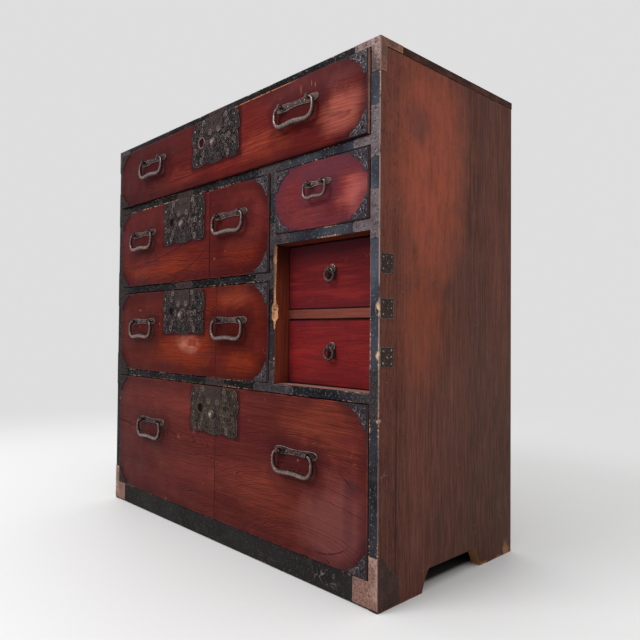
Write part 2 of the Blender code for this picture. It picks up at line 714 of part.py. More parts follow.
def bail(width, drop, top_bend, grip_bend, grip_rise, spacing, end_radius, grip_radius):
    """A forged bar with both ends turned in, thick at the grip and drawn out thin at the eyes."""
    half = bail_half(width, drop, top_bend, grip_bend, grip_rise, spacing)
    path = half + [(-x, z) for x, z in reversed(half[:-1])]
    middle = len(half) - 1
    straight = 2
    curve = bpy.data.curves.new("bail", "CURVE")
    curve.dimensions = "3D"
    curve.bevel_depth = grip_radius
    curve.bevel_resolution = 2
    curve.use_fill_caps = True
    spline = curve.splines.new("POLY")
    spline.points.add(len(path) - 1)
    for index, (point, (x, z)) in enumerate(zip(spline.points, path)):
        along = max(0, min(index, 2 * middle - index) - straight) / (middle - straight)
        swell = math.sin(along * math.pi / 2)
        point.co = (x, 0, z, 1)
        point.radius = (end_radius + (grip_radius - end_radius) * swell) / grip_radius
    carrier = bpy.data.objects.new("bail", curve)
    mesh = bpy.data.meshes.new_from_object(carrier)
    bpy.data.objects.remove(carrier)
    bm = bmesh.new()
    bm.from_mesh(mesh)
    bmesh.ops.remove_doubles(bm, verts=bm.verts[:], dist=1e-6)
    return smoothed(closed_mesh(bm, "bail"), math.radians(60))


def ring_plate():
    """A round washer with one eye post."""
    sheet_y = -SEAT_GAP - HANDLE_PLATE_THICKNESS / 2
    sheet = cylinder((0, sheet_y, 0), (0, 1, 0), RING_PLATE_RADIUS, HANDLE_PLATE_THICKNESS, HOLE_SIDES)
    post, hole = eye_post(0, RING_WIRE_RADIUS, RING_EYE_WIDTH, RING_CLEARANCE, RING_POST_REACH)
    return smoothed(cut(fused(sheet, post), hole))


def ring():
    """A closed iron ring that hangs from its eye, with its origin at the top of its centre line."""
    bm = bmesh.new()
    place = Matrix.Rotation(math.pi / 2, 4, "Y")
    section = bmesh.ops.create_circle(bm, segments=RING_SIDES, radius=RING_WIRE_RADIUS, matrix=place)["verts"]
    edges = [edge for edge in bm.edges]
    bmesh.ops.spin(
        bm, geom=section + edges, cent=(0, 0, -RING_RADIUS), axis=(0, 1, 0), angle=math.tau,
        steps=RING_STEPS, use_merge=True,
    )
    bmesh.ops.remove_doubles(bm, verts=bm.verts[:], dist=1e-6)
    return smoothed(closed_mesh(bm, "ring"), math.radians(60))


# Assembly of the drawers

def handle_places(drawer, inset):
    """How far to each side of the middle the two handles of a drawer sit."""
    midway = (LOCK_WIDTH / 2 + drawer["width"] / 2) / 2
    return (("left", inset - midway), ("right", midway - inset))


def build_drawers(finishes, drawers):
    iron = finishes["wrought_iron"]
    lock_mesh = lock_plate()
    bolt_mesh = lock_bolt()
    large_plate = handle_plate(
        HANDLE_PLATE_LENGTH, HANDLE_PLATE_HEIGHT, HANDLE_WAIST, HANDLE_SWELL, POST_SPACING, BAIL_END_RADIUS,
    )
    large_bail = bail(
        BAIL_WIDTH, BAIL_DROP, BAIL_TOP_BEND, BAIL_GRIP_BEND, BAIL_GRIP_RISE, POST_SPACING,
        BAIL_END_RADIUS, BAIL_GRIP_RADIUS,
    )
    small_plate = handle_plate(
        SMALL_HANDLE_PLATE_LENGTH, SMALL_HANDLE_PLATE_HEIGHT, SMALL_HANDLE_WAIST, SMALL_HANDLE_SWELL,
        SMALL_POST_SPACING, SMALL_BAIL_END_RADIUS,
    )
    small_bail = bail(
        SMALL_BAIL_WIDTH, SMALL_BAIL_DROP, SMALL_BAIL_TOP_BEND, SMALL_BAIL_GRIP_BEND, SMALL_BAIL_GRIP_RISE,
        SMALL_POST_SPACING, SMALL_BAIL_END_RADIUS, SMALL_BAIL_GRIP_RADIUS,
    )
    ring_plate_mesh = ring_plate()
    ring_mesh = ring()
    handles = {
        "top_drawer": (TOP_HANDLE_RISE, 0),
        "left_upper_drawer": (LEFT_UPPER_HANDLE_RISE, LEFT_HANDLE_INSET),
        "left_lower_drawer": (LEFT_LOWER_HANDLE_RISE, LEFT_HANDLE_INSET),
        "bottom_drawer": (BOTTOM_HANDLE_RISE, 0),
    }

    for name, drawer in drawers.items():
        origin = add_origin(name, (drawer["middle_x"], drawer["front_y"], drawer["low"]))
        middle_z = drawer["height"] / 2
        face = drawer_front(drawer)
        inner = name.startswith("inner")
        if not inner:
            face = fused(face, *corner_irons(drawer))
        if name in handles:
            face = cut(face, bolt_pocket(drawer))
        lacquer = finishes["inner_lacquer" if inner else "front_lacquer"]
        add(f"{name}_front", face, lacquer, parent=origin)
        add(f"{name}_box", drawer_box(drawer), finishes["bare_wood"], parent=origin)

        if inner:
            place = middle_z + RING_RISE
            add(f"{name}_ring_plate", ring_plate_mesh, iron, (0, 0, place), origin)
            add(f"{name}_ring", ring_mesh, iron, (0, pivot_y(RING_POST_REACH), place), origin)
            continue
        if name not in handles:
            place = middle_z + SMALL_HANDLE_RISE
            add(f"{name}_handle_plate", small_plate, iron, (0, 0, place), origin)
            add(f"{name}_bail", small_bail, iron, (0, pivot_y(POST_REACH), place), origin)
            continue
        rise, inset = handles[name]
        lock_z = drawer["height"] - LOCK_DROP - LOCK_HEIGHT
        add(f"{name}_lock_plate", lock_mesh, iron, (0, 0, lock_z), origin)
        bolt_z = drawer["height"] - BOLT_DROP - BOLT_HEIGHT
        add(f"{name}_lock_bolt", bolt_mesh, iron, (0, BOLT_Y, bolt_z), origin)
        for side, x in handle_places(drawer, inset):
            place = middle_z + rise
            add(f"{name}_{side}_handle_plate", large_plate, iron, (x, 0, place), origin)
            add(f"{name}_{side}_bail", large_bail, iron, (x, pivot_y(POST_REACH), place), origin)


def build():
    for piece in list(bpy.data.objects):
        bpy.data.objects.remove(piece)
    finishes = make_finishes()
    drawers = drawer_openings()
    build_case(finishes, drawers)
    build_corner_irons(finishes)
    build_drawers(finishes, drawers)


build()
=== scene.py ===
"""Finishes and fine fittings of a choba tansu, dressed over its solid model.

Lengths are in metres, in the solid model's frame: the front faces -Y and the floor lies at Z = 0.
"""

import json
import math

import bmesh
import bpy
from mathutils import Matrix, Vector, noise

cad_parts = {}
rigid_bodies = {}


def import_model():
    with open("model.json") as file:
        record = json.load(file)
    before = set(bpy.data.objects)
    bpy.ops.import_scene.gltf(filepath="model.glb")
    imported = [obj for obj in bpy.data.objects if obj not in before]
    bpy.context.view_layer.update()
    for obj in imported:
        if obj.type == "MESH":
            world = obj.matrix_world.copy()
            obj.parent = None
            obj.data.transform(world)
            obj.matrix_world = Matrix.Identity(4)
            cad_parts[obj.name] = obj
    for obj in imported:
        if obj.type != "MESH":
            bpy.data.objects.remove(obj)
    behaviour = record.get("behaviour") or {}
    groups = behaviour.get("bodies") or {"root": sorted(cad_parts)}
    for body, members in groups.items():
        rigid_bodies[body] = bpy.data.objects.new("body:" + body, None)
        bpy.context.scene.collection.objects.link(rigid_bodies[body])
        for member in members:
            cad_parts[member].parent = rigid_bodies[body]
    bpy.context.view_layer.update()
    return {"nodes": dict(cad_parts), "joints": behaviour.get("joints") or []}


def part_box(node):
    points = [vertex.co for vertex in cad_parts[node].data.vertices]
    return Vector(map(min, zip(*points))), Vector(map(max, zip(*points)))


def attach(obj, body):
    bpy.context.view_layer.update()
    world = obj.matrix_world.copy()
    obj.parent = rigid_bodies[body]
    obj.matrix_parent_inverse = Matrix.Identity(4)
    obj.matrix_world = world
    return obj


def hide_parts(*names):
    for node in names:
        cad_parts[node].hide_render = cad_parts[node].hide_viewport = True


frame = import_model()
nodes = frame["nodes"]


# Side panels
# Each side is a wide upright board with a narrow board glued along its front, and feet sawn out of its end.
# A thin red-brown lacquer lets the grain through, faded high up near the front and darker lower down.
# The front edge is blackened like the rails.

def seen(red, green, blue):
    """A colour as it shows on screen, from 0 to 255, as the linear values that shaders take."""
    levels = [level / 255 for level in (red, green, blue)]
    return (*[v / 12.92 if v <= 0.04045 else ((v + 0.055) / 1.055) ** 2.4 for v in levels], 1.0)


class Wiring:
    """Adds nodes to one shader tree. A node's input is a number, a colour or another node's socket."""

    def __init__(self, tree):
        self.tree = tree

    def node(self, kind, inputs=(), **settings):
        made = self.tree.nodes.new("ShaderNode" + kind)
        for key, value in settings.items():
            setattr(made, key, value)
        for key, value in dict(inputs).items():
            if isinstance(value, bpy.types.NodeSocket):
                self.tree.links.new(value, made.inputs[key])
            else:
                made.inputs[key].default_value = value
        return made

    def calc(self, operation, *values):
        return self.node("Math", enumerate(values), operation=operation).outputs[0]

    def product(self, first, *others):
        for other in others:
            first = self.calc("MULTIPLY", first, other)
        return first

    def ease(self, value, start, end, low=0.0, high=1.0):
        """Go smoothly from low to high as a value goes from start to end."""
        inputs = {"Value": value, "From Min": start, "From Max": end, "To Min": low, "To Max": high}
        return self.node("MapRange", inputs, interpolation_type="SMOOTHSTEP").outputs[0]

    def vector(self, operation, *values):
        made = self.node("VectorMath", enumerate(values), operation=operation)
        return made.outputs["Value" if operation == "LENGTH" else "Vector"]

    def gap(self, first, second):
        """How far two values lie apart."""
        return self.calc("ABSOLUTE", self.calc("SUBTRACT", first, second))

    def stretch(self, value, start, end, fade):
        """1 between a start and an end, fading to 0 at both."""
        return self.product(self.ease(value, start, start + fade), self.ease(value, end, end - fade))

    def split(self, vector):
        return self.node("SeparateXYZ", {0: vector}).outputs

    def cloud(self, place, swells, seed=0.0, detail=2.0):
        """Soft noise from 0 to 1, with one number of swells to the metre or its own along each axis."""
        if isinstance(swells, float):
            swells = (swells, swells, swells)
        inputs = {"Vector": self.vector("MULTIPLY", place, swells), "W": seed, "Scale": 1.0, "Detail": detail}
        return self.node("TexNoise", inputs, noise_dimensions="4D").outputs[0]

    def blend(self, share, first, second):
        return self.node("Mix", {0: share, 6: first, 7: second}, data_type="RGBA").outputs[2]


def shader_group(name, inputs, outputs):
    """Start a shader node group. Returns its wiring, the sockets that come in and the node that puts out."""
    tree = bpy.data.node_groups.new(name, "ShaderNodeTree")
    for label, start in inputs.items():
        kind = "NodeSocketFloat"
        if isinstance(start, tuple):
            kind = "NodeSocketVector" if len(start) == 3 else "NodeSocketColor"
        tree.interface.new_socket(name=label, in_out="INPUT", socket_type=kind).default_value = start
    for label in outputs:
        kind = "NodeSocketColor" if label == "Colour" else "NodeSocketFloat"
        tree.interface.new_socket(name=label, in_out="OUTPUT", socket_type=kind)
    return Wiring(tree), tree.nodes.new("NodeGroupInput").outputs, tree.nodes.new("NodeGroupOutput")


def put_out(wiring, result, **sockets):
    for label, socket in sockets.items():
        wiring.tree.links.new(socket, result.inputs[label.replace("_", " ")])
    return wiring.tree


def make_plank_grain():
    """Growth rings cut by a board, with fibres, pores and a broad figure. Place runs along, across, through.
    The heart is where the rings centre: along, across, and how much they stretch along the board."""
    heart_depth = 0.03
    inputs = {
        "Place": (0.0, 0.0, 0.0), "Heart": (0.0, 0.0, 0.05), "Ring Width": 0.004, "Wander": 0.03, "Seed": 0.0,
    }
    w, given, result = shader_group("plank_grain", inputs, ("Lines", "Fibre", "Streaks", "Pores", "Figure"))
    place, seed = given["Place"], given["Seed"]
    along, across, through = w.split(place)
    heart_along, heart_across, stretch = w.split(given["Heart"])
    heart = w.node("CombineXYZ", {
        0: w.product(w.calc("SUBTRACT", along, heart_along), stretch),
        1: w.calc("SUBTRACT", across, heart_across), 2: w.calc("ADD", through, heart_depth),
    }).outputs[0]
    flow = w.calc("SUBTRACT", w.cloud(place, (1.7, 8.0, 8.0), seed, 1.0), 0.5)
    ripple = w.calc("SUBTRACT", w.cloud(place, (10.0, 60.0, 60.0), seed), 0.5)
    bend = w.calc("ADD", flow, w.product(ripple, 0.14))
    reach = w.calc("ADD", w.vector("LENGTH", heart), w.product(bend, given["Wander"], 2.0))
    rings = w.calc("DIVIDE", reach, given["Ring Width"])
    within = w.calc("FRACT", rings)
    chance = w.node("TexWhiteNoise", {"W": w.calc("FLOOR", rings)}, noise_dimensions="1D").outputs[0]
    strength = w.calc("MULTIPLY_ADD", w.calc("POWER", chance, 1.6), 0.8, 0.2)
    line = w.product(w.ease(within, 0.5, 0.9), w.ease(within, 1.0, 0.93))
    fibre = w.cloud(place, (26.0, 760.0, 760.0), seed)
    streaks = w.cloud(place, (13.0, 430.0, 430.0), seed, 3.0)
    dashes = w.ease(w.cloud(place, (60.0, 1500.0, 1500.0), seed, 1.0), 0.58, 0.68)
    pores = w.product(dashes, w.ease(within, 0.2, 0.8, 0.15, 1.0))
    figure = w.ease(w.cloud(place, (1.6, 13.0, 13.0), seed, 3.0), 0.3, 0.7)
    return put_out(
        w, result, Lines=w.product(line, strength), Fibre=fibre, Streaks=streaks, Pores=pores, Figure=figure,
    )


def make_edge_gap():
    """How far a point on a board's surface lies from the nearest of the board's edges."""
    inputs = {"Place": (0.0, 0.0, 0.0), "Low": (0.0, 0.0, 0.0), "High": (1.0, 1.0, 1.0)}
    w, given, result = shader_group("edge_gap", inputs, ("Gap",))
    below = w.vector("SUBTRACT", given["Place"], given["Low"])
    above = w.vector("SUBTRACT", given["High"], given["Place"])
    x, y, z = w.split(w.vector("MINIMUM", below, above))
    middle = w.calc("MAXIMUM", w.calc("MINIMUM", x, y), w.calc("MINIMUM", w.calc("MAXIMUM", x, y), z))
    return put_out(w, result, Gap=middle)


def make_knocks():
    """Small dents and hair scratches of long use, scattered over a surface."""
    w, given, result = shader_group("knocks", {"Place": (0.0, 0.0, 0.0), "Seed": 0.0}, ("Dents", "Scratches"))
    spread = w.vector("MULTIPLY", given["Place"], (52.0, 52.0, 52.0))
    inputs = {"Vector": spread, "W": given["Seed"], "Scale": 1.0}
    cells = w.node("TexVoronoi", inputs, voronoi_dimensions="4D").outputs
    chosen = w.ease(w.split(cells["Color"])[0], 0.86, 0.9)
    ragged = w.product(w.cloud(given["Place"], 420.0, given["Seed"]), 0.3)
    dents = w.product(chosen, w.ease(w.calc("ADD", cells["Distance"], ragged), 0.34, 0.27))
    hair = w.gap(w.cloud(given["Place"], 24.0, given["Seed"], 0.0), 0.5)
    part = w.ease(w.cloud(given["Place"], 31.0, w.calc("ADD", given["Seed"], 4.0)), 0.58, 0.64)
    return put_out(w, result, Dents=dents, Scratches=w.product(part, w.ease(hair, 0.006, 0.002)))


def make_black_lacquer():
    """Black lacquer, rubbed grey and brown in places, chipped to the wood along its edges, with a painted
    bluish sheen.
    """
    inputs = {"Place": (0.0, 0.0, 0.0), "Edge": 0.0, "Slate": 0.0, "Seed": 0.0}
    w, given, result = shader_group("black_lacquer", inputs, ("Colour", "Chips"))
    place, seed = given["Place"], given["Seed"]
    cloudy = w.ease(w.cloud(place, 14.0, seed), 0.3, 0.7)
    colour = w.blend(cloudy, seen(15, 14, 16), seen(32, 31, 34))
    sheen = w.blend(cloudy, seen(42, 45, 54), seen(74, 77, 88))
    colour = w.blend(given["Slate"], colour, sheen)
    rubbed = w.ease(w.cloud(place, 40.0, seed, 4.0), 0.55, 0.72)
    colour = w.blend(w.product(rubbed, 0.25), colour, seen(88, 78, 78))
    grit = w.ease(w.cloud(place, 330.0, seed, 2.0), 0.6, 0.68)
    colour = w.blend(w.product(grit, 0.5), colour, seen(128, 118, 116))
    near = w.ease(given["Edge"], 0.0042, 0.0008)
    speckle = w.cloud(place, 230.0, seed, 3.0)
    stretch = w.ease(w.cloud(place, 10.0, seed), 0.45, 0.62, 0.0, 0.26)
    chips = w.ease(w.calc("ADD", speckle, w.product(near, stretch)), 0.71, 0.75)
    raw = w.blend(w.cloud(place, 90.0, seed), seen(122, 86, 66), seen(216, 178, 144))
    return put_out(w, result, Colour=w.blend(chips, colour, raw), Chips=chips)


plank_grain = make_plank_grain()
edge_gap = make_edge_gap()
knocks = make_knocks()
black_lacquer = make_black_lacquer()


class Finish(Wiring):
    """A surface built up in coats. Meshes keep their rest coordinates, and these place every coat."""

    def __init__(self, name, seed=0.0):
        self.material = bpy.data.materials.new(name)
        self.material.use_nodes = True
        super().__init__(self.material.node_tree)
        self.shader = self.tree.nodes["Principled BSDF"]
        coordinates = self.node("TexCoord").outputs
        self.place = coordinates["Object"]
        self.facing = coordinates["Normal"]
        self.x, self.y, self.z = self.split(self.place)
        self.seed = seed

    def group(self, tree, **inputs):
        labelled = {label.replace("_", " "): value for label, value in inputs.items()}
        return self.node("Group", labelled, node_tree=tree).outputs

    def noise(self, *swells, detail=2.0):
        return self.cloud(self.place, swells if len(swells) == 3 else swells * 3, self.seed, detail)

    def coat(self, colour, *shares):
        """Lay a colour over the others, as thick as the product of its shares."""
        self.colour = self.blend(self.product(*shares), self.colour, colour)

    def plank(self, low, high, order, dark, light, line, ring_width, wander, bold=0.3, hearts=(), joint=None):
        """Lay down a board's grain between two corners. The order names its axes: along, across, through.
        Right of a joint lies a second board. Hearts give where the rings of each board centre."""
        centre = (low + high) / 2
        parts = dict(zip("xyz", self.split(self.vector("SUBTRACT", self.place, centre))))
        parts["s"] = self.calc("ADD", parts["x"], parts["y"])
        turned = self.node("CombineXYZ", enumerate(parts[axis] for axis in order)).outputs[0]
        ring_centres = [Vector((x - centre.x, z - centre.z, stretch)) for x, z, stretch in hearts]
        heart = ring_centres[0] if hearts else (0.0, 0.0, 0.05)
        seed = self.seed
        if joint is not None:
            second = self.calc("GREATER_THAN", self.x, joint)
            seed = self.calc("ADD", self.seed, self.product(second, 0.37))
            heart = self.vector("MULTIPLY_ADD", second, ring_centres[1] - ring_centres[0], ring_centres[0])
        self.grain = self.group(
            plank_grain, Place=turned, Heart=heart, Ring_Width=ring_width, Wander=wander, Seed=seed,
        )
        self.edge = self.group(edge_gap, Place=self.place, Low=low, High=high)["Gap"]
        self.marks = self.group(knocks, Place=self.place, Seed=self.seed)
        self.colour = self.blend(self.grain["Figure"], dark, light)
        self.coat(line, self.grain["Lines"], bold)
        self.coat(line, self.ease(self.grain["Streaks"], 0.36, 0.6, 0.26, 0.0))
        self.coat(light, self.ease(self.grain["Streaks"], 0.5, 0.72, 0.0, 0.3))
        self.coat(line, self.ease(self.grain["Fibre"], 0.35, 0.65, 0.22, 0.0))
        self.coat(line, self.grain["Pores"], 0.3)

    def patch(self, centre, reach, ragged=0.5):
        """A worn spot, 1 in its middle and 0 past its ragged outline."""
        spread = self.vector("DIVIDE", self.vector("SUBTRACT", self.place, centre), reach)
        rough = self.product(self.calc("SUBTRACT", self.noise(28.0), 0.5), 2 * ragged)
        return self.ease(self.calc("ADD", self.vector("LENGTH", spread), rough), 1.0, 0.3)

    def smear(self, x, z, half_width, half_height, ragged):
        """A worn spot on a face that looks to the front."""
        return self.patch((x, front_y, z), (half_width, FAR, half_height), ragged)

    def blacken(self, share, sheen=0.0):
        """Coat part of a board with black lacquer and a share of painted bluish sheen. Returns where it has
        chipped.
        """
        black = self.group(black_lacquer, Place=self.place, Edge=self.edge, Slate=sheen, Seed=self.seed)
        self.coat(black["Colour"], share)
        return self.product(black["Chips"], share)

    def wood(self, gloss, bare=0.0, specular=0.07, relief=0.00025):
        """Join the coats to the shader. Bare wood is rougher than lacquer."""
        lacquer = self.ease(self.noise(18.0), 0.3, 0.7, gloss, gloss + 0.14)
        rough = self.calc("MULTIPLY_ADD", bare, 0.3, lacquer)
        height = self.calc("SUBTRACT", self.product(self.grain["Fibre"], 0.25), self.grain["Pores"])
        height = self.calc("SUBTRACT", height, self.calc("ADD", self.marks["Dents"], self.product(bare, 0.8)))
        bump = self.node("Bump", {"Height": height, "Distance": relief})
        self.tree.links.new(bump.outputs[0], self.shader.inputs["Normal"])
        self.tree.links.new(rough, self.shader.inputs["Roughness"])
        self.tree.links.new(self.colour, self.shader.inputs["Base Color"])
        self.shader.inputs["Specular IOR Level"].default_value = specular
        return self.material


def dress(name, material):
    """Give a piece of the solid model its finish."""
    nodes[name].material_slots[0].material = material


SIDE_JOINT = 0.0435
SIDE_JOINT_WIDTH = 0.0032
FOOT_HEIGHT = 0.038
STILE_CHIPS = ((), ((0.476, 0.013), (0.403, 0.009), (0.300, 0.005)))
STILE_CHIP = (0.007, 0.008)
STILE_BLACK = (0.0016, 0.0006)
SIDE_RIM = (0.0022, 0.0010)
STILE_RIM = (0.0017, 0.0011)
SUN = (0.135, 0.735, 0.145, 0.29)
STAIN = (0.10, 0.795, 0.05, 0.045)
LOW_SUN = (0.115, 0.455, 0.10, 0.15)
SUN_SHARES = (0.35, 0.8)
LOW_SUN_SHARES = (0.3, 0.55)
FAR = 9.0
front_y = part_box("base_rail")[0].y


def side_spot(side, x, spot, ragged):
    """A worn spot on a side. It gives its place, back from the front and up, and how far it reaches."""
    back, up, back_reach, up_reach = spot
    return side.patch((x, front_y + back, up), (FAR, back_reach, up_reach), ragged)


for number, name in enumerate(("side_panel_left", "side_panel_right")):
    low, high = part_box(name)
    side = Finish(name + "_lacquer", seed=2.0 + number)
    side.plank(
        low, high, "zyx", seen(90, 56, 48), seen(122, 73, 62), seen(48, 30, 25), 0.011, 0.05, bold=0.06,
    )
    backwards = side.calc("SUBTRACT", side.y, front_y)
    uneven = side.ease(side.noise(9.0, 9.0, 2.5), 0.3, 0.65, 0.35, 1.0)
    side.coat(seen(124, 64, 53), side.ease(backwards, 0.19, 0.02), uneven, 0.4)
    bands = side.noise(95.0, 95.0, 4.0, detail=3.0)
    side.coat(seen(72, 47, 41), side.ease(bands, 0.5, 0.34, 0.0, 0.26))
    side.coat(seen(142, 86, 70), side.ease(bands, 0.5, 0.68, 0.0, 0.3))
    mottled = side.ease(side.noise(75.0, 75.0, 22.0, detail=5.0), 0.32, 0.62, 0.62, 1.0)
    side.coat(seen(176, 88, 66), side_spot(side, high.x, SUN, 0.3), mottled, SUN_SHARES[number])
    side.coat(seen(92, 60, 60), side_spot(side, high.x, STAIN, 0.6), 0.6)
    side.coat(seen(150, 74, 50), side_spot(side, high.x, LOW_SUN, 0.35), mottled, LOW_SUN_SHARES[number])
    lower = side.ease(side.z, 0.75, 0.35, 0.3, 1.0)
    side.coat(seen(74, 44, 38), side.ease(backwards, 0.075, 0.03, 0.0, 0.5), lower)
    gloom = side.product(side.ease(backwards, 0.10, 0.30), side.ease(side.z, 0.75, 0.25, 0.15, 1.0))
    side.coat(seen(78, 57, 49), gloom, 0.65)
    side.coat(seen(60, 37, 31), side.ease(side.z, 0.42, 0.04, 0.0, 0.55))
    smudges = side.ease(side.noise(19.0, 19.0, 4.5, detail=4.0), 0.55, 0.7)
    side.coat(seen(54, 38, 33), smudges, side.ease(backwards, 0.0, 0.25, 0.05, 0.18))
    brushed = side.ease(side.noise(240.0, 240.0, 16.0, detail=2.0), 0.4, 0.65)
    side.coat(seen(140, 92, 76), brushed, 0.22)
    grime = side.ease(side.noise(300.0, 300.0, 110.0, detail=3.0), 0.54, 0.66)
    side.coat(seen(36, 25, 23), grime, side.ease(backwards, 0.09, 0.02, 0.18, 0.4))
    flecks = side.ease(side.noise(150.0, 150.0, 90.0, detail=2.0), 0.74, 0.78)
    side.coat(seen(176, 136, 110), flecks, side.ease(backwards, 0.16, 0.04, 0.1, 0.6))
    crack = side.ease(side.gap(backwards, SIDE_JOINT), SIDE_JOINT_WIDTH, 0.0)
    opened = side.ease(side.z, 0.36, 0.26, 0.12, 1.0)
    side.coat(seen(30, 19, 17), crack, opened, side.ease(side.noise(14.0), 0.35, 0.6, 0.5, 1.0))
    side.coat(seen(160, 120, 94), side.marks["Dents"], 0.35)
    side.coat(seen(150, 108, 86), side.marks["Scratches"], 0.3)
    flat = side.calc("ABSOLUTE", side.split(side.facing)[0])
    sawn = side.product(side.ease(flat, 0.6, 0.3), side.ease(side.z, FOOT_HEIGHT + 0.002, FOOT_HEIGHT))
    corner = side.patch((high.x, high.y - 0.012, 0.006), (FAR, 0.036, 0.03), 0.9)
    corner = side.product(corner, side.ease(side.noise(75.0, 75.0, 40.0), 0.46, 0.56))
    scuffed = side.product(side.ease(side.z, 0.008, 0.001), side.ease(side.noise(40.0), 0.5, 0.62))
    scuffed = side.product(scuffed, side.ease(backwards, 0.20, 0.28))
    bare = side.calc("MAXIMUM", sawn, side.calc("MAXIMUM", scuffed, corner))
    side.coat(side.blend(side.noise(60.0), seen(112, 70, 48), seen(192, 142, 98)), bare, 0.85)
    worn = side.product(side.ease(side.edge, *SIDE_RIM), side.ease(side.noise(55.0), 0.42, 0.6))
    side.coat(seen(150, 112, 92), worn, 0.6)
    stile = side.ease(side.y, front_y + STILE_BLACK[0], front_y + STILE_BLACK[1])
    # The right side's blackened front edge takes more painted bluish sheen higher up.
    chipped = side.blacken(stile, side.ease(side.z, 0.2, 0.6, 0.2 * number, 0.85 * number))
    rub = side.product(side.ease(side.edge, *STILE_RIM), side.ease(side.noise(38.0), 0.34, 0.5), stile)
    side.coat(seen(176, 156, 146), rub, side.ease(side.z, 0.25, 0.45, 0.3, 0.8))
    for level, reach in STILE_CHIPS[number]:
        torn = side.patch((high.x - 0.002, front_y, level), (*STILE_CHIP, reach), 0.4)
        torn = side.product(torn, side.ease(side.noise(170.0, 170.0, 90.0), 0.4, 0.52))
        side.coat(side.blend(side.noise(120.0), seen(172, 122, 92), seen(236, 204, 172)), torn, 0.95)
    dress(name, side.wood(0.44, side.calc("MAXIMUM", bare, chipped), specular=0.05))


# Top board
# One long board lies over both sides and is nailed down into their upper ends.
# Its front edge is blackened to match the rails, and its face wears the brown lacquer of the sides.

TOP_BLACK = (0.0022, 0.0010)
TOP_RIM = (0.0035, 0.0015)

low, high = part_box("top_board")
top = Finish("top_lacquer", seed=5.0)
top.plank(low, high, "xyz", seen(66, 42, 36), seen(106, 62, 50), seen(38, 26, 23), 0.008, 0.06)
top.coat(seen(44, 32, 29), top.ease(top.noise(9.0, 22.0, 22.0), 0.5, 0.66), 0.5)
top.coat(seen(136, 104, 86), top.marks["Scratches"], 0.5)
top.coat(seen(140, 104, 82), top.marks["Dents"], 0.5)
ends = top.ease(top.calc("ABSOLUTE", top.split(top.facing)[0]), 0.5, 0.8)
end_grain = top.blend(top.ease(top.noise(24.0, 24.0, 60.0), 0.35, 0.65), seen(62, 40, 35), seen(92, 58, 49))
top.coat(end_grain, ends)
top.coat(seen(36, 28, 27), ends, top.ease(top.z, high.z - TOP_RIM[0], high.z - TOP_RIM[1]))
chipped = top.blacken(top.ease(top.y, front_y + TOP_BLACK[0], front_y + TOP_BLACK[1]))
dress("top_board", top.wood(0.46, chipped, specular=0.03))


# Rails, shelves and bottom board
# The boards between the drawers run back to the rear. Only their front edges, the rails, are lacquered black.
# The edges are chipped to tan wood by drawers, and the boards behind them are plain brown wood.

BLACK_DEPTH = (0.004, 0.003)
SHELF_WOOD = {
    "lower_shelf": (seen(124, 84, 74), seen(162, 120, 108)),
    "right_shelf": (seen(86, 31, 21), seen(116, 46, 31)),
}
# How much painted bluish sheen each rail's black lacquer takes towards the right; rails not listed take 0.5.
RAIL_SHEEN = {"base_rail": 0.0, "lower_shelf": 0.15}
RAIL_RUBS = {
    "upper_shelf": (-0.40, 0.09, 0.8), "middle_shelf": (-0.12, 0.11, 0.5), "lower_shelf": (-0.40, 0.30, 0.4),
}
RUB_FADE = 0.03
RUB_LIP = (0.0030, 0.0010)
SCRAPED_PLACE = (0.335, 0.022)
SCRAPED_REACH = (0.055, 0.018)

for number, name in enumerate(("base_rail", "lower_shelf", "middle_shelf", "upper_shelf", "right_shelf")):
    low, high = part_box(name)
    rail = Finish(name + "_lacquer", seed=11.0 + number)
    dark, light = SHELF_WOOD.get(name, (seen(60, 29, 20), seen(86, 44, 30)))
    rail.plank(low, high, "xyz", dark, light, seen(44, 25, 18), 0.006, 0.04)
    band = 1.0
    if name != "base_rail":
        band = rail.ease(rail.y, front_y + BLACK_DEPTH[0], front_y + BLACK_DEPTH[1])
    chipped = rail.blacken(band, rail.ease(rail.x, 0.12, 0.3, 0.0, RAIL_SHEEN.get(name, 0.5)))
    if name == "base_rail":
        rail.coat(seen(46, 43, 41), 0.5)
        scraped = rail.smear(*SCRAPED_PLACE, *SCRAPED_REACH, 0.5)
        hair = rail.gap(rail.noise(55.0, detail=1.0), 0.5)
        rail.coat(seen(132, 123, 118), scraped, rail.ease(hair, 0.016, 0.004), 0.5)
    if name in RAIL_RUBS:
        start, end, share = RAIL_RUBS[name]
        broken = rail.ease(rail.noise(110.0, detail=4.0), 0.49, 0.60)
        lip = rail.ease(rail.z, low.z + RUB_LIP[0], low.z + RUB_LIP[1])
        rail.coat(seen(206, 164, 130), lip, rail.stretch(rail.x, start, end, RUB_FADE), broken, share)
    rail.coat(seen(118, 104, 98), rail.marks["Scratches"], 0.5)
    dress(name, rail.wood(0.46, chipped, specular=0.02))

low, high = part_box("bottom_board")
bottom = Finish("bottom_board_wood", seed=17.0)
bottom.plank(low, high, "xyz", seen(120, 90, 62), seen(168, 132, 94), seen(84, 60, 42), 0.011, 0.05)
# The faces that look down are painted dark as shade.
bottom.coat(seen(34, 26, 21), bottom.ease(bottom.split(bottom.facing)[2], -0.3, -0.7))
dress("bottom_board", bottom.wood(0.62))


# Back panel
# Four upright planks of plain softwood are nailed across the rear and left without lacquer.
# They have browned with age.

low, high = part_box("back_panel")
back = Finish("back_panel_wood", seed=19.0)
back.plank(low, high, "zxy", seen(112, 84, 60), seen(164, 128, 92), seen(78, 56, 40), 0.009, 0.05)
back.coat(seen(82, 62, 48), back.ease(back.noise(7.0, 7.0, 2.2), 0.48, 0.68), 0.5)
back.coat(seen(60, 44, 34), back.marks["Dents"], 0.5)
dress("back_panel", back.wood(0.62))


# Inner shelf
# A board between the two small drawers of the open compartment, let into the divider and the right side.
# Its edge is rubbed with thin brown lacquer.

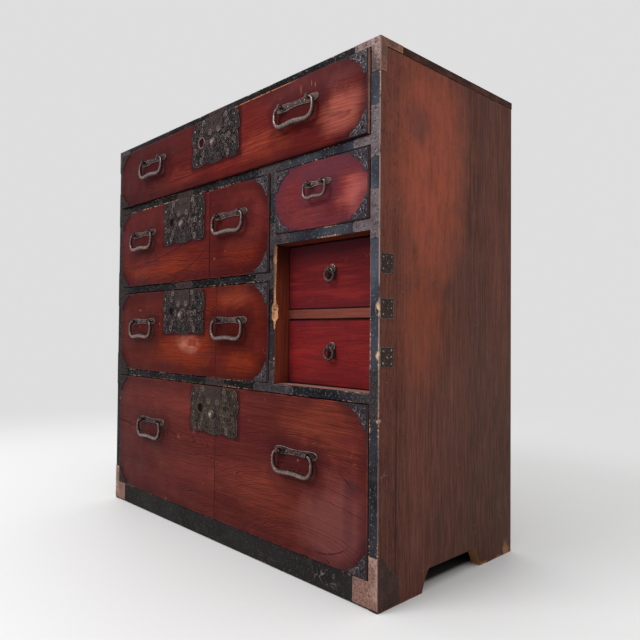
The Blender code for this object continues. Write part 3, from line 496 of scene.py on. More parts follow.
low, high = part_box("inner_shelf")
inner = Finish("inner_shelf_lacquer", seed=23.0)
inner.plank(low, high, "xyz", seen(98, 48, 40), seen(126, 66, 55), seen(64, 32, 27), 0.010, 0.04)
inner.coat(seen(178, 146, 120), inner.marks["Dents"], 0.6)
dress("inner_shelf", inner.wood(0.45))


# Divider
# An upright board between the left drawers and the right column, its front edge blackened.
# The lost door's catch has torn a splinter out of its right corner, and above that the corner is rubbed bare.

DIVIDER_BEVEL = 0.0008
DIVIDER_BLACK = (0.0012, 0.0006)
SHARP_ANGLE = math.radians(38)
TORN_CORNER = (
    (0.444, 0.0008), (0.450, 0.0020), (0.459, 0.0026), (0.463, 0.0066), (0.470, 0.0084), (0.476, 0.0068),
    (0.484, 0.0084), (0.490, 0.0060), (0.494, 0.0030), (0.510, 0.0022), (0.560, 0.0034), (0.602, 0.0046),
    (0.6025, 0.0008),
)
TORN_STEP = 0.0015
TORN_JAG = 0.0022
TORN_FULL = 0.004
TORN_HOLLOW = 0.25
NAIL_HOLE = (0.1905, 0.481, 0.0022)


def add_piece(bm, name, body, materials, replaced=()):
    """Turn a finished mesh into a piece that rides on a body and takes the place of CAD nodes."""
    bmesh.ops.recalc_face_normals(bm, faces=bm.faces)
    mesh = bpy.data.meshes.new(name)
    bm.to_mesh(mesh)
    bm.free()
    mesh.shade_smooth()
    mesh.set_sharp_from_angle(angle=SHARP_ANGLE)
    for material in materials:
        mesh.materials.append(material)
    piece = bpy.data.objects.new(name, mesh)
    bpy.context.scene.collection.objects.link(piece)
    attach(piece, body)
    if replaced:
        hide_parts(*replaced)
    return piece


def between(knots, place):
    """The value at a place along a line through (place, value) knots."""
    for (start, first), (end, last) in zip(knots, knots[1:]):
        if start <= place <= end:
            return first + (last - first) * (place - start) / (end - start)
    return knots[0][1] if place < knots[0][0] else knots[-1][1]


low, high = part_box("divider")
levels = [low.z]
while levels[-1] < TORN_CORNER[-1][0]:
    levels.append(max(levels[-1] + TORN_STEP, TORN_CORNER[0][0]))
levels.append(high.z)
bm = bmesh.new()
rings = []
for level in levels:
    cut = between(TORN_CORNER, level)
    jag = TORN_JAG * min(1.0, (cut - DIVIDER_BEVEL) / TORN_FULL)
    across = cut + jag * noise.noise((0.0, 0.0, level * 260))
    back_cut = cut * 1.15 + jag * noise.noise((7.0, 0.0, level * 310))
    hollow = TORN_HOLLOW * cut + jag * abs(noise.noise((3.0, 5.0, level * 420)))
    pit = (high.x - across * 0.4 - hollow, low.y + back_cut * 0.4 + hollow)
    section = (
        (low.x, high.y), (low.x, low.y + DIVIDER_BEVEL), (low.x + DIVIDER_BEVEL, low.y),
        (high.x - across, low.y), pit, (high.x, low.y + back_cut), (high.x, high.y),
    )
    rings.append([bm.verts.new((x, y, level)) for x, y in section])
for lower, upper in zip(rings, rings[1:]):
    for corner in range(len(lower)):
        following = (corner + 1) % len(lower)
        face = bm.faces.new((lower[corner], lower[following], upper[following], upper[corner]))
        face.material_index = 1 if corner in (3, 4) and TORN_CORNER[0][0] < lower[0].co.z else 0
bm.faces.new(rings[0])
bm.faces.new(rings[-1])

post = Finish("divider_lacquer", seed=21.0)
post.plank(low, high, "zyx", seen(116, 50, 34), seen(146, 70, 50), seen(74, 32, 22), 0.011, 0.05)
post.coat(seen(168, 122, 96), post.marks["Dents"], 0.7)
post.coat(seen(146, 96, 72), post.marks["Scratches"], 0.4)
# Painted shade: the divider darkens towards its top, under the shelf above the compartment.
post.coat(seen(40, 18, 13), post.ease(post.z, 0.51, 0.60), 0.8)
chipped = post.blacken(post.ease(post.y, front_y + DIVIDER_BLACK[0], front_y + DIVIDER_BLACK[1]), 0.15)
divider_lacquer = post.wood(0.46, chipped, specular=0.03)

raw = Finish("divider_torn_wood", seed=22.0)
raw.plank(low, high, "zyx", seen(196, 134, 94), seen(244, 196, 154), seen(136, 80, 52), 0.0012, 0.01)
hole_x, hole_z, hole_radius = NAIL_HOLE
raw.coat(seen(62, 34, 22), raw.smear(hole_x, hole_z, hole_radius, hole_radius * 1.3, 0.2))
raw.coat(seen(130, 78, 50), raw.ease(raw.noise(120.0), 0.54, 0.68), 0.5)
add_piece(bm, "divider_board", "case", (divider_lacquer, raw.wood(0.75)), ("divider",))


# Case irons
# Folded sheets bind the four front corners of the case. Straps cover the joints of rails and stiles, strike
# plates sit over the locks, and three small plates are left from the hinges of the lost door.
# All are cut from hammered sheet iron, nailed on and gone brown. The lower corners have a coppery bloom.

SHEET_EDGE = 0.0003
RIM = 0.0011
CORNER_SHEET = 0.0008
CORNER_FOLD = 0.0012
CORNER_LIFT = 0.0003
STRAP_SHEET = 0.0008
NAIL_HEAD = ((1.0, 0.0, 0.0), (0.96, 0.3, 0.25), (0.72, 0.62, 0.7), (0.38, 0.8, 1.0), (0.0, 0.86, 1.0))
NAIL_RADIUS = 0.0021
FLAT_NAIL = 0.2
IRON_SPECULAR = 0.2


def make_old_iron():
    """Forged iron under black scale, with clouds of rust, pitting, and bare metal where it is rubbed."""
    inputs = {
        "Place": (0.0, 0.0, 0.0), "Worn": 0.0, "Rust": 0.5, "Polish": 0.0, "Patchy": 1.1, "Seed": 0.0,
        "Scale Tone": seen(60, 54, 55), "Rust Tone": seen(110, 76, 58), "Bare Tone": seen(178, 160, 152),
    }
    w, given, result = shader_group("old_iron", inputs, ("Colour", "Rough", "Metal", "Height"))
    place, seed, scale = given["Place"], given["Seed"], given["Scale Tone"]
    hammered = w.cloud(place, 70.0, seed, 3.0)
    colour = w.blend(w.ease(hammered, 0.3, 0.7), w.blend(0.4, scale, seen(14, 13, 14)), scale)
    specks = w.ease(w.cloud(place, 360.0, seed, 2.0), 0.53, 0.68)
    colour = w.blend(w.product(specks, 0.3), colour, given["Bare Tone"])
    rust_cloud = w.calc("ADD", w.cloud(place, 46.0, w.calc("ADD", seed, 3.0), 4.0), given["Rust"])
    rust = w.ease(rust_cloud, 0.88, 1.16)
    grainy = w.blend(w.ease(w.cloud(place, 310.0, seed, 3.0), 0.35, 0.65), given["Rust Tone"], colour)
    colour = w.blend(rust, colour, grainy)
    pits = w.ease(w.cloud(place, 560.0, seed), 0.56, 0.66)
    colour = w.blend(w.product(pits, 0.5), colour, seen(20, 17, 16))
    patchy = w.product(w.calc("SUBTRACT", w.cloud(place, 190.0, seed), 0.5), given["Patchy"])
    rubbed = w.ease(w.calc("ADD", given["Worn"], patchy), 0.42, 0.95)
    colour = w.blend(w.product(rubbed, 0.75), colour, given["Bare Tone"])
    rough = w.calc("SUBTRACT", w.ease(hammered, 0.3, 0.7, 0.42, 0.6), w.product(rubbed, 0.1))
    rough = w.calc("SUBTRACT", w.calc("ADD", rough, w.product(rust, 0.18)), given["Polish"])
    metal = w.calc("SUBTRACT", 0.6, w.product(rust, 0.45))
    height = w.calc("SUBTRACT", hammered, w.product(pits, 0.5))
    return put_out(w, result, Colour=colour, Rough=rough, Metal=metal, Height=height)


old_iron = make_old_iron()


def iron(name, scale_tone, rust_tone, bare_tone, rust, seed, polish=0.0, patchy=1.1, relief=0.0006):
    """An iron finish. Its wear comes from the worn value of each vertex."""
    skin = Finish(name, seed)
    worn = skin.node("Attribute", attribute_name="worn").outputs["Fac"]
    coat = skin.group(
        old_iron, Place=skin.place, Worn=worn, Rust=rust, Polish=polish, Patchy=patchy, Seed=seed,
        Scale_Tone=scale_tone, Rust_Tone=rust_tone, Bare_Tone=bare_tone,
    )
    bump = skin.node("Bump", {"Height": coat["Height"], "Distance": relief})
    for label, socket in (("Colour", "Base Color"), ("Rough", "Roughness"), ("Metal", "Metallic")):
        skin.tree.links.new(coat[label], skin.shader.inputs[socket])
    skin.tree.links.new(bump.outputs[0], skin.shader.inputs["Normal"])
    skin.shader.inputs["Specular IOR Level"].default_value = IRON_SPECULAR
    return skin.material


def new_forging():
    """An empty mesh whose vertices hold how worn the iron is there."""
    bm = bmesh.new()
    bm.verts.layers.float.new("worn")
    return bm


def on_front(x, y, z):
    """Place points given as right, up and out from a point on a face that looks to the front."""
    return lambda right, up, out: Vector((x + right, y - out, z + up))


def on_right(x, y, z):
    """Place points given as back, up and out from a point on the chest's right side."""
    return lambda back, up, out: Vector((x + out, y + back, z + up))


def outline(knots, steps=8):
    """Points round an outline of (right, up, bow) knots. The stretch to the next knot swells by the bow."""
    points = []
    for (right, up, bow), (end_right, end_up, _) in zip(knots, knots[1:] + knots[:1]):
        points.append((right, up))
        if bow:
            run, rise = end_right - right, end_up - up
            chord = math.hypot(run, rise)
            half = 2 * math.atan(2 * bow / chord)
            radius = chord / (2 * math.sin(half))
            for step in range(1, steps):
                angle = half * (2 * step / steps - 1)
                along = (radius * math.sin(angle) + chord / 2) / chord
                out = radius * (math.cos(angle) - math.cos(half)) / chord
                points.append((right + run * along + rise * out, up + rise * along - run * out))
    return points


def circle(right, up, radius, steps=20):
    turns = [2 * math.pi * step / steps for step in range(steps)]
    return [(right + radius * math.cos(turn), up + radius * math.sin(turn)) for turn in turns]


def add_sheet(bm, place, points, thickness, holes=(), foot=0.0, folds=(), rim_wear=0.8, slot=0):
    """Add a sheet cut to an outline, its edges eased and its rim worn, standing at the foot height."""
    curve = bpy.data.curves.new("sheet", "CURVE")
    curve.dimensions = "2D"
    curve.fill_mode = "BOTH"
    curve.extrude = thickness / 2 - SHEET_EDGE
    curve.bevel_depth = SHEET_EDGE
    curve.bevel_resolution = 0
    curve.offset = -SHEET_EDGE
    for loop in (points, *holes):
        spline = curve.splines.new("POLY")
        spline.points.add(len(loop) - 1)
        for point, (right, up) in zip(spline.points, loop):
            point.co = (right, up, 0, 1)
        spline.use_cyclic_u = True
    carrier = bpy.data.objects.new("sheet", curve)
    flat = bpy.data.meshes.new_from_object(carrier)
    sheet = bmesh.new()
    sheet.from_mesh(flat)
    bpy.data.objects.remove(carrier)
    bpy.data.curves.remove(curve)
    bpy.data.meshes.remove(flat)
    bmesh.ops.remove_doubles(sheet, verts=sheet.verts, dist=1e-6)
    face_up = [face for face in sheet.faces if face.calc_center_median().z > thickness / 2 - 1e-5]
    bmesh.ops.inset_region(sheet, faces=face_up, thickness=RIM)
    for fold in folds:
        whole = [*sheet.verts, *sheet.edges, *sheet.faces]
        bmesh.ops.bisect_plane(sheet, geom=whole, plane_co=(fold, 0, 0), plane_no=(1, 0, 0), dist=1e-7)
    worn = bm.verts.layers.float["worn"]
    inner = {vert for face in face_up if face.is_valid for vert in face.verts}
    copies = {}
    for vert in sheet.verts:
        copies[vert] = bm.verts.new(place(vert.co.x, vert.co.y, foot + vert.co.z + thickness / 2))
        copies[vert][worn] = 0.0 if vert in inner else rim_wear
    for face in sheet.faces:
        bm.faces.new([copies[vert] for vert in face.verts]).material_index = slot
    sheet.free()


def add_turned(bm, place, right, up, profile, foot=0.0, sides=10, wear=1.0):
    """Add a round piece. Its profile runs from its foot to its tip as (radius, rise, wear)."""
    worn = bm.verts.layers.float["worn"]
    rings = []
    for radius, rise, rub in profile:
        if radius == 0:
            ring = [bm.verts.new(place(right, up, foot + rise))]
        else:
            ring = [bm.verts.new(place(u, v, foot + rise)) for u, v in circle(right, up, radius, sides)]
        for vert in ring:
            vert[worn] = rub * wear
        rings.append(ring)
    bm.faces.new(rings[0])
    for lower, upper in zip(rings, rings[1:]):
        for corner in range(sides):
            following = (corner + 1) % sides
            if len(upper) == 1:
                bm.faces.new((lower[corner], lower[following], upper[0]))
            else:
                bm.faces.new((lower[corner], lower[following], upper[following], upper[corner]))


def add_nail(bm, place, right, up, foot, radius=NAIL_RADIUS, wear=0.6, dome=0.75):
    """Add a round nail head, a little out of true as hand-forged heads are."""
    chance = noise.noise((right * 900, up * 900, radius * 1000))
    spread = radius * (1 + 0.22 * chance)
    profile = [(share * spread, rise * radius * dome, rub) for share, rise, rub in NAIL_HEAD]
    add_turned(bm, place, right, up, profile, foot, wear=wear * (0.75 + 0.7 * chance))


def add_sweep(bm, place, path, sizes, rise, closed=False, sides=8, wear=0.8):
    """Add a bar along a flat path. Its size is (half width in the path's plane, half height out of it).
    It is one for the whole bar or a list of one for each point."""
    worn = bm.verts.layers.float["worn"]
    count = len(path)
    if isinstance(sizes, tuple):
        sizes = [sizes] * count
    rings = []
    for step, ((right, up), (half_width, half_height)) in enumerate(zip(path, sizes)):
        before = path[step - 1] if closed or step else path[0]
        after = path[(step + 1) % count] if closed or step < count - 1 else path[-1]
        run, lift = after[0] - before[0], after[1] - before[1]
        length = math.hypot(run, lift)
        ring = []
        for turn in (2 * math.pi * side / sides for side in range(sides)):
            out = half_width * math.cos(turn) / length
            top = math.sin(turn)
            vert = bm.verts.new(place(right + lift * out, up - run * out, rise + half_height * top))
            vert[worn] = wear * max(0.0, top)
            ring.append(vert)
        rings.append(ring)
    pairs = list(zip(rings, rings[1:] + rings[:1])) if closed else list(zip(rings, rings[1:]))
    for first, second in pairs:
        for side in range(sides):
            following = (side + 1) % sides
            bm.faces.new((first[side], first[following], second[following], second[side]))
    if not closed:
        bm.faces.new(rings[0])
        bm.faces.new(rings[-1])


def folded(side):
    """Place points round a front corner of the case: its side lies right of the corner, its front left."""
    half_arc = CORNER_FOLD * math.pi / 4
    corner_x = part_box("side_panel_right")[1].x + CORNER_LIFT
    corner_y = front_y - CORNER_LIFT

    def place(right, up, out):
        if right < -half_arc:
            x, y = corner_x - CORNER_FOLD + right + half_arc, corner_y - out
        elif right > half_arc:
            x, y = corner_x + out, corner_y + CORNER_FOLD + right - half_arc
        else:
            turn = (right + half_arc) / CORNER_FOLD
            x = corner_x - CORNER_FOLD + (CORNER_FOLD + out) * math.sin(turn)
            y = corner_y + CORNER_FOLD - (CORNER_FOLD + out) * math.cos(turn)
        return Vector((side * x, y, up))

    return place


def side_faces_second(bm):
    """Give the faces that look to a side the piece's second finish."""
    bm.normal_update()
    for face in bm.faces:
        if abs(face.normal.x) > 0.7:
            face.material_index = 1


brown_iron = iron("brown_iron", seen(78, 63, 63), seen(108, 80, 74), seen(122, 101, 98), 0.45, 31.0)
russet_iron = iron("russet_iron", seen(124, 88, 78), seen(186, 122, 80), seen(178, 144, 128), 0.48, 30.0)
coppery_iron = iron("coppery_iron", seen(112, 86, 79), seen(152, 110, 96), seen(176, 144, 132), 0.66, 32.0)
smoky_iron = iron("smoky_iron", seen(64, 45, 40), seen(92, 60, 48), seen(112, 84, 72), 0.42, 29.0)
# A near-black copy of the iron, painted shade for the irons at the chest's left.
shaded_left_iron = iron("shaded_left_iron", seen(26, 20, 20), seen(40, 30, 29), seen(78, 64, 62), 1.0, 25.0)
STILE_LEG = 0.0185
TOP_RAIL_LEG = 0.0128
SIDE_STILE_LEG = 0.015
SIDE_RAIL_LEG = 0.0125
BASE_MARGIN = 0.0008
BASE_SIDE_TOP = 0.044
BASE_SIDE_BOW = -0.003
BASE_FOLD_BACK = 0.012
TOP_BINDING_NAILS = (
    (-0.050, 0.907), (-0.030, 0.905), (-0.010, 0.904), (-0.009, 0.882), (-0.010, 0.862),
    (0.007, 0.863), (0.008, 0.884), (0.010, 0.905), (0.030, 0.906), (0.049, 0.905),
)
BASE_BINDING_NAILS = (
    (-0.049, 0.009), (-0.049, 0.040), (-0.026, 0.010), (-0.026, 0.040), (-0.005, 0.010), (-0.010, 0.079),
    (-0.010, 0.058), (0.006, 0.078), (0.046, 0.010), (0.046, 0.040), (0.020, 0.010),
)

low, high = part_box("corner_iron_top_right")
reach, back_reach = high.x - low.x, high.y - low.y
rail_foot, side_foot = high.z - TOP_RAIL_LEG, high.z - SIDE_RAIL_LEG
top_binding = outline([
    (-reach, rail_foot, 0), (-STILE_LEG, rail_foot, 0), (-STILE_LEG, low.z, 0), (0.0, low.z, 0),
    (SIDE_STILE_LEG, low.z, 0), (SIDE_STILE_LEG, side_foot, 0), (back_reach, side_foot, 0),
    (back_reach, high.z, 0), (0.0, high.z, 0), (-reach, high.z, 0),
])
low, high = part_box("corner_iron_bottom_right")
reach, back_reach = high.x - low.x, high.y - low.y
rail_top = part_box("base_rail")[1].z - BASE_MARGIN
base_binding = outline([
    (-reach, low.z, 0), (0.0, low.z, 0), (back_reach, low.z, 0), (back_reach, BASE_SIDE_TOP, BASE_SIDE_BOW),
    (BASE_FOLD_BACK, high.z, 0), (0.0, high.z, 0), (-STILE_LEG, high.z, 0), (-STILE_LEG, rail_top, 0),
    (-reach, rail_top, 0),
])
fold_lines = [CORNER_FOLD * math.pi / 4 * share for share in (-1, -0.6, -0.2, 0.2, 0.6, 1)]
for name, side in (("left", -1), ("right", 1)):
    # The left top binding takes the near-black iron as painted shade.
    top_skins = (brown_iron, russet_iron) if side > 0 else (shaded_left_iron, shaded_left_iron)
    for level, points, nails, skins in (
        ("top", top_binding, TOP_BINDING_NAILS, top_skins),
        ("bottom", base_binding, BASE_BINDING_NAILS, (coppery_iron, smoky_iron)),
    ):
        bm = new_forging()
        place = folded(side)
        add_sheet(bm, place, points, CORNER_SHEET, folds=fold_lines)
        for right, up in nails:
            add_nail(bm, place, right, up, CORNER_SHEET, wear=0.3, dome=FLAT_NAIL)
        side_faces_second(bm)
        corner = f"{level}_{name}"
        add_piece(bm, "corner_binding_" + corner, "case", skins, ("corner_iron_" + corner,))

STRAP_MARGIN = 0.0009
STRAP_ROUND = 0.0035
STILES = {"left": "side_panel_left", "right": "side_panel_right", "middle": "divider"}
STRAPS = (
    ("left", "upper_shelf", 0.028, 0.045, 0.0, 0.035), ("left", "middle_shelf", 0.030, 0.042, 0.0, 0.035),
    ("left", "lower_shelf", 0.025, 0.040, 0.0, 0.035), ("right", "upper_shelf", 0.022, 0.047, 0.035, 0.0),
    ("right", "right_shelf", 0.014, 0.047, 0.035, 0.0), ("right", "lower_shelf", 0.025, 0.040, 0.035, 0.0),
    ("middle", "upper_shelf", 0.041, 0.0, 0.036, 0.041), ("middle", "right_shelf", 0.020, 0.024, 0.0, 0.040),
    ("middle", "middle_shelf", 0.016, 0.020, 0.040, 0.0), ("middle", "lower_shelf", 0.0, 0.043, 0.044, 0.052),
)
strap_iron = iron("strap_iron", seen(52, 46, 49), seen(90, 74, 72), seen(136, 124, 124), 0.40, 33.0)
stile_iron = iron("stile_strap_iron", seen(98, 87, 91), seen(124, 104, 104), seen(176, 160, 160), 0.40, 26.0)
strike_iron = iron("strike_iron", seen(26, 19, 18), seen(60, 44, 40), seen(112, 92, 86), 0.7, 28.0)
hinge_iron = iron("hinge_iron", seen(52, 39, 35), seen(78, 56, 46), seen(170, 146, 132), 0.42, 27.0)
place = on_front(0.0, front_y, 0.0)
for stile, rail, down, up, left, right in STRAPS:
    stile_low, stile_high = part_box(STILES[stile])
    rail_low, rail_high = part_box(rail)
    x0, x1 = stile_low.x + STRAP_MARGIN, stile_high.x - STRAP_MARGIN
    z0, z1 = rail_low.z + STRAP_MARGIN, rail_high.z - STRAP_MARGIN
    knots = []
    if down:
        knots += [(x0, z0 - down, -STRAP_ROUND * 0.4), (x1, z0 - down, 0)]
    knots.append((x1, z0, 0))
    if right:
        knots += [(x1 + right, z0, STRAP_ROUND), (x1 + right, z1, 0)]
    knots.append((x1, z1, 0))
    if up:
        knots += [(x1, z1 + up, -STRAP_ROUND * 0.4), (x0, z1 + up, 0)]
    knots.append((x0, z1, 0))
    if left:
        knots += [(x0 - left, z1, STRAP_ROUND), (x0 - left, z0, 0)]
    knots.append((x0, z0, 0))
    bm = new_forging()
    add_sheet(bm, place, outline(knots), STRAP_SHEET)
    centre_x, centre_z = (x0 + x1) / 2, (z0 + z1) / 2
    half_width, half_height = (x1 - x0) / 2, (z1 - z0) / 2
    spots = [(centre_x, centre_z)]
    for away, way in ((down, -1), (up, 1)):
        rises = [away * share + half_height for share in (0.45, 0.86) if away]
        spots += [(centre_x, centre_z + way * rise) for rise in rises]
    for away, way in ((left, -1), (right, 1)):
        runs = [away * share + half_width for share in (0.4, 0.9) if away]
        spots += [(centre_x + way * run, centre_z) for run in runs]
    for spot in spots:
        add_nail(bm, place, *spot, STRAP_SHEET)
    skin = stile_iron if stile == "right" and rail != "lower_shelf" else strap_iron
    # The straps on the left stile take the near-black iron as painted shade.
    if stile == "left":
        skin = shaded_left_iron
    add_piece(bm, f"strap_{stile}_{rail}", "case", (skin,))

STRIKE_WIDTH = 0.063
STRIKE_CURLS = (-0.55, 0.0, 0.55)
STRIKE_CURL_RADIUS = 0.0042
STRIKE_BOW = 0.0015
STRIKE_NAILS = (-0.8, -0.28, 0.28, 0.8)
CURL_WIRE = (0.0008, 0.0007)
CURL_STEPS = 12


def add_curl(bm, place, right, up, radius, foot, wear, wire=CURL_WIRE, steps=10):
    """Add an open curl of wire that lies on a plate."""
    add_sweep(bm, place, circle(right, up, radius, CURL_STEPS)[:steps], wire, foot, sides=6, wear=wear)


locked_drawers = ("top_drawer", "left_upper_drawer", "left_lower_drawer", "bottom_drawer")
for drawer, board in zip(locked_drawers, ("top_board", "upper_shelf", "middle_shelf", "lower_shelf")):
    lock_low, lock_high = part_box(drawer + "_lock_plate")
    board_low, board_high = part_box(board)
    middle = (lock_low.x + lock_high.x) / 2
    half = STRIKE_WIDTH / 2
    z0, z1 = board_low.z + STRAP_MARGIN, board_high.z - STRAP_MARGIN
    bm = new_forging()
    add_sheet(bm, place, outline([
        (middle - half, z0, 0), (middle + half, z0, STRIKE_BOW),
        (middle + half, z1, 0), (middle - half, z1, STRIKE_BOW),
    ]), STRAP_SHEET)
    for right in STRIKE_NAILS:
        add_nail(bm, place, middle + right * half, (z0 + z1) / 2, STRAP_SHEET)
    for right in STRIKE_CURLS:
        add_curl(bm, place, middle + right * half, (z0 + z1) / 2, STRIKE_CURL_RADIUS, STRAP_SHEET, 0.7)
    add_piece(bm, drawer + "_strike_plate", "case", (strike_iron,))

HINGE_SIZE = 0.033
HINGE_LEVELS = (0.400, 0.478, 0.550)
HINGE_INSET = 0.0022
HINGE_BOW = -0.0012
HINGE_NAILS = ((0.2, 0.22), (0.2, 0.8), (0.5, 0.5), (0.82, 0.18), (0.8, 0.52), (0.82, 0.84))
side_face = on_right(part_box("side_panel_right")[1].x, front_y + HINGE_INSET, 0.0)
bm = new_forging()
for level in HINGE_LEVELS:
    half = HINGE_SIZE / 2
    add_sheet(bm, side_face, outline([
        (0.0, level - half, 0), (HINGE_SIZE, level - half, HINGE_BOW),
        (HINGE_SIZE, level + half, 0), (0.0, level + half, 0),
    ]), STRAP_SHEET)
    for back, up in HINGE_NAILS:
        rise = level + (up - 0.5) * HINGE_SIZE
        add_nail(bm, side_face, back * HINGE_SIZE, rise, STRAP_SHEET, wear=1.5, dome=FLAT_NAIL)
add_piece(bm, "door_hinge_plates", "case", (hinge_iron,))


# Drawer boxes
# Each drawer is a box of thin softwood boards, joined at the corners and left bare inside.
# The wood has browned and is scratched.

low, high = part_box("bottom_drawer_box")
box_wood = Finish("drawer_box_wood", seed=41.0)
box_wood.plank(low, high, "szy", seen(146, 112, 78), seen(190, 154, 112), seen(104, 76, 52), 0.008, 0.04)
box_wood.coat(seen(112, 84, 60), box_wood.ease(box_wood.noise(6.0), 0.5, 0.7), 0.45)
box_wood.coat(seen(96, 70, 50), box_wood.marks["Scratches"], 0.4)
drawer_box_wood = box_wood.wood(0.6)
drawers = (*locked_drawers, "small_drawer", "inner_upper_drawer", "inner_lower_drawer")
for drawer in drawers:
    dress(drawer + "_box", drawer_box_wood)


# Outer drawer fronts
# Thick boards of figured hardwood under translucent red lacquer, most of them two boards glued end to end.
# Light has warmed the lacquer to orange in places, partly a painted sheen, and hands and cloths have darkened
# it round the fittings, along with painted shadow. Painted shade darkens the left ends.

FRONT_EDGE = 0.0012
JOINT_GROOVE = 0.0006
POCKET_GAP = 0.0004
PAST_FACE = 0.01
CORNER_PROUD = 0.0010
KEYHOLE = (-0.049, 0.052)
KEYHOLE_SHADE = 0.025
LOCK_GRIME_AND_SHADOW = (0.008, 0.85)
HANDLE_GRIME_AND_SHADOW = (0.036, 0.4)
VEIN_WIDTH = (0.0021, 0.0004)
VEIN_FADE = 0.02
EDGE_SHADE = (0.036, 0.002)
CORNER_SHADE = (0.085, 0.04)
CORNER_RIM = (0.0042, 0.0026)
CORNER_RIM_END = (0.078, 0.060)
EDGE_RUB = (0.0024, 0.0008)
TOP_RUB = (0.003, 0.0014)
TOP_RUB_FADE = 0.04
STROKE_WIDTH = 0.0011
SLIP_FADE = 0.0006
LIT_FADE = 0.0012
# Hearts give x, z and stretch. Spots and hazes give x, z, half width, half height and share; pale hazes are
# painted sheen.
# Veins give x, z, slope, bend, start and end. A slip of paper has kept its oblong from being scraped.
FRONT_LOOKS = {
    "top_drawer": {
        "seed": 51.0, "dark": seen(84, 24, 23), "light": seen(118, 39, 32), "glow": seen(196, 96, 66),
        "shade": seen(54, 17, 20), "hollow": seen(52, 14, 20), "dusk": (0.10, -0.38, 0.7),
        "hearts": ((0.2, 0.80, 0.08),), "bold": 0.6, "veins": ((-0.05, 0.79, 0.04, 0.1, -0.2, 0.1),),
        "spots": (
            (0.378, 0.806, 0.085, 0.045, 0.5), (0.17, 0.795, 0.11, 0.045, 0.2),
            (-0.16, 0.785, 0.12, 0.03, 0.2),
        ),
        "haze_and_sheen": (
            (0.31, 0.884, 0.20, 0.042, 0.7, seen(96, 48, 50)),
            (0.39, 0.808, 0.09, 0.055, 0.34, seen(178, 104, 96)),
        ),
        "strokes": ((0.272, 0.874, 0.012), (0.300, 0.879, 0.008), (0.309, 0.874, 0.006)),
        "rubbed_top": (0.03, 0.27), "foot": (0.0036, 0.0014), "end_tone": seen(160, 116, 104), "lit": 0.0045,
    },
    "left_upper_drawer": {
        "seed": 52.0, "dark": seen(82, 25, 21), "light": seen(112, 38, 28), "glow": seen(154, 59, 28),
        "shade": seen(56, 18, 22), "dusk": (0.0, -0.42, 0.4),
        "joint": -0.0205, "joint_mark": (0.0030, 0.9), "hearts": ((-0.3, 0.56, 0.12), (0.02, 0.54, 0.55)),
        "spots": ((-0.24, 0.59, 0.2, 0.045, 0.65), (0.09, 0.605, 0.07, 0.05, 0.3)),
        "haze_and_sheen": ((0.10, 0.665, 0.10, 0.08, 0.3, seen(134, 62, 58)),),
        "veins": ((-0.17, 0.572, 0.0, 2.6, -0.18, -0.022), (-0.37, 0.596, 0.08, 0.35, -0.38, -0.12)),
    },
    "small_drawer": {
        "seed": 53.0, "dark": seen(95, 37, 42), "light": seen(128, 52, 54), "glow": seen(186, 90, 76),
        "shade": seen(82, 40, 50), "hearts": ((0.44, 0.75, 0.5),), "ring_width": 0.0027, "bold": 0.36,
        "spots": ((0.405, 0.668, 0.06, 0.055, 0.6), (0.29, 0.645, 0.06, 0.02, 0.2)),
        "haze_and_sheen": (
            (0.33, 0.722, 0.10, 0.026, 0.35, seen(98, 56, 68)),
            (0.42, 0.66, 0.055, 0.055, 0.5, seen(182, 98, 94)),
        ),
    },
    "left_lower_drawer": {
        "seed": 54.0, "dark": seen(80, 24, 16), "light": seen(110, 37, 23), "glow": seen(152, 58, 26),
        "shade": seen(54, 17, 18), "dusk": (0.0, -0.42, 0.35),
        "joint": 0.0055, "hearts": ((-0.4, 0.47, 0.1), (0.19, 0.33, 0.75)),
        "spots": (
            (-0.12, 0.40, 0.17, 0.06, 0.6), (0.085, 0.375, 0.08, 0.035, 0.46), (0.06, 0.51, 0.06, 0.03, 0.4),
        ),
        "haze_and_sheen": ((0.07, 0.512, 0.09, 0.03, 0.25, seen(132, 70, 54)),),
        "scrape": (-0.105, 0.411, 0.070, 0.028), "slip": (-0.086, 0.4145, 0.0165, 0.0080),
    },
    "bottom_drawer": {
        "seed": 55.0, "dark": seen(86, 35, 31), "light": seen(118, 52, 44), "glow": seen(150, 70, 48),
        "shade": seen(58, 23, 25), "dusk": (0.0, -0.42, 0.5),
        "joint": 0.0055, "hearts": ((-0.4, 0.20, 0.1), (0.30, 0.04, 0.35)),
        "spots": (
            (0.34, 0.28, 0.16, 0.07, 0.42), (0.17, 0.13, 0.15, 0.06, 0.3), (-0.2, 0.10, 0.12, 0.05, 0.2),
        ),
        "haze_and_sheen": (
            (0.37, 0.10, 0.12, 0.13, 0.56, seen(124, 75, 73)),
            (0.392, 0.145, 0.017, 0.10, 0.36, seen(66, 36, 40)),
            (0.402, 0.185, 0.024, 0.022, 0.45, seen(56, 38, 46)),
            (0.36, 0.246, 0.055, 0.02, 0.2, seen(70, 34, 34)),
            (0.30, 0.105, 0.07, 0.05, 0.3, seen(122, 66, 60)),
            (0.40, 0.285, 0.025, 0.04, 0.2, seen(66, 32, 36)),
        ),
        "veins": (
            (0.365, 0.208, -0.5, -4.0, 0.36, 0.408), (0.396, 0.15, -1.9, 0.0, 0.386, 0.412),
            (0.33, 0.062, 0.1, 4.5, 0.305, 0.395),
        ),
    },
}


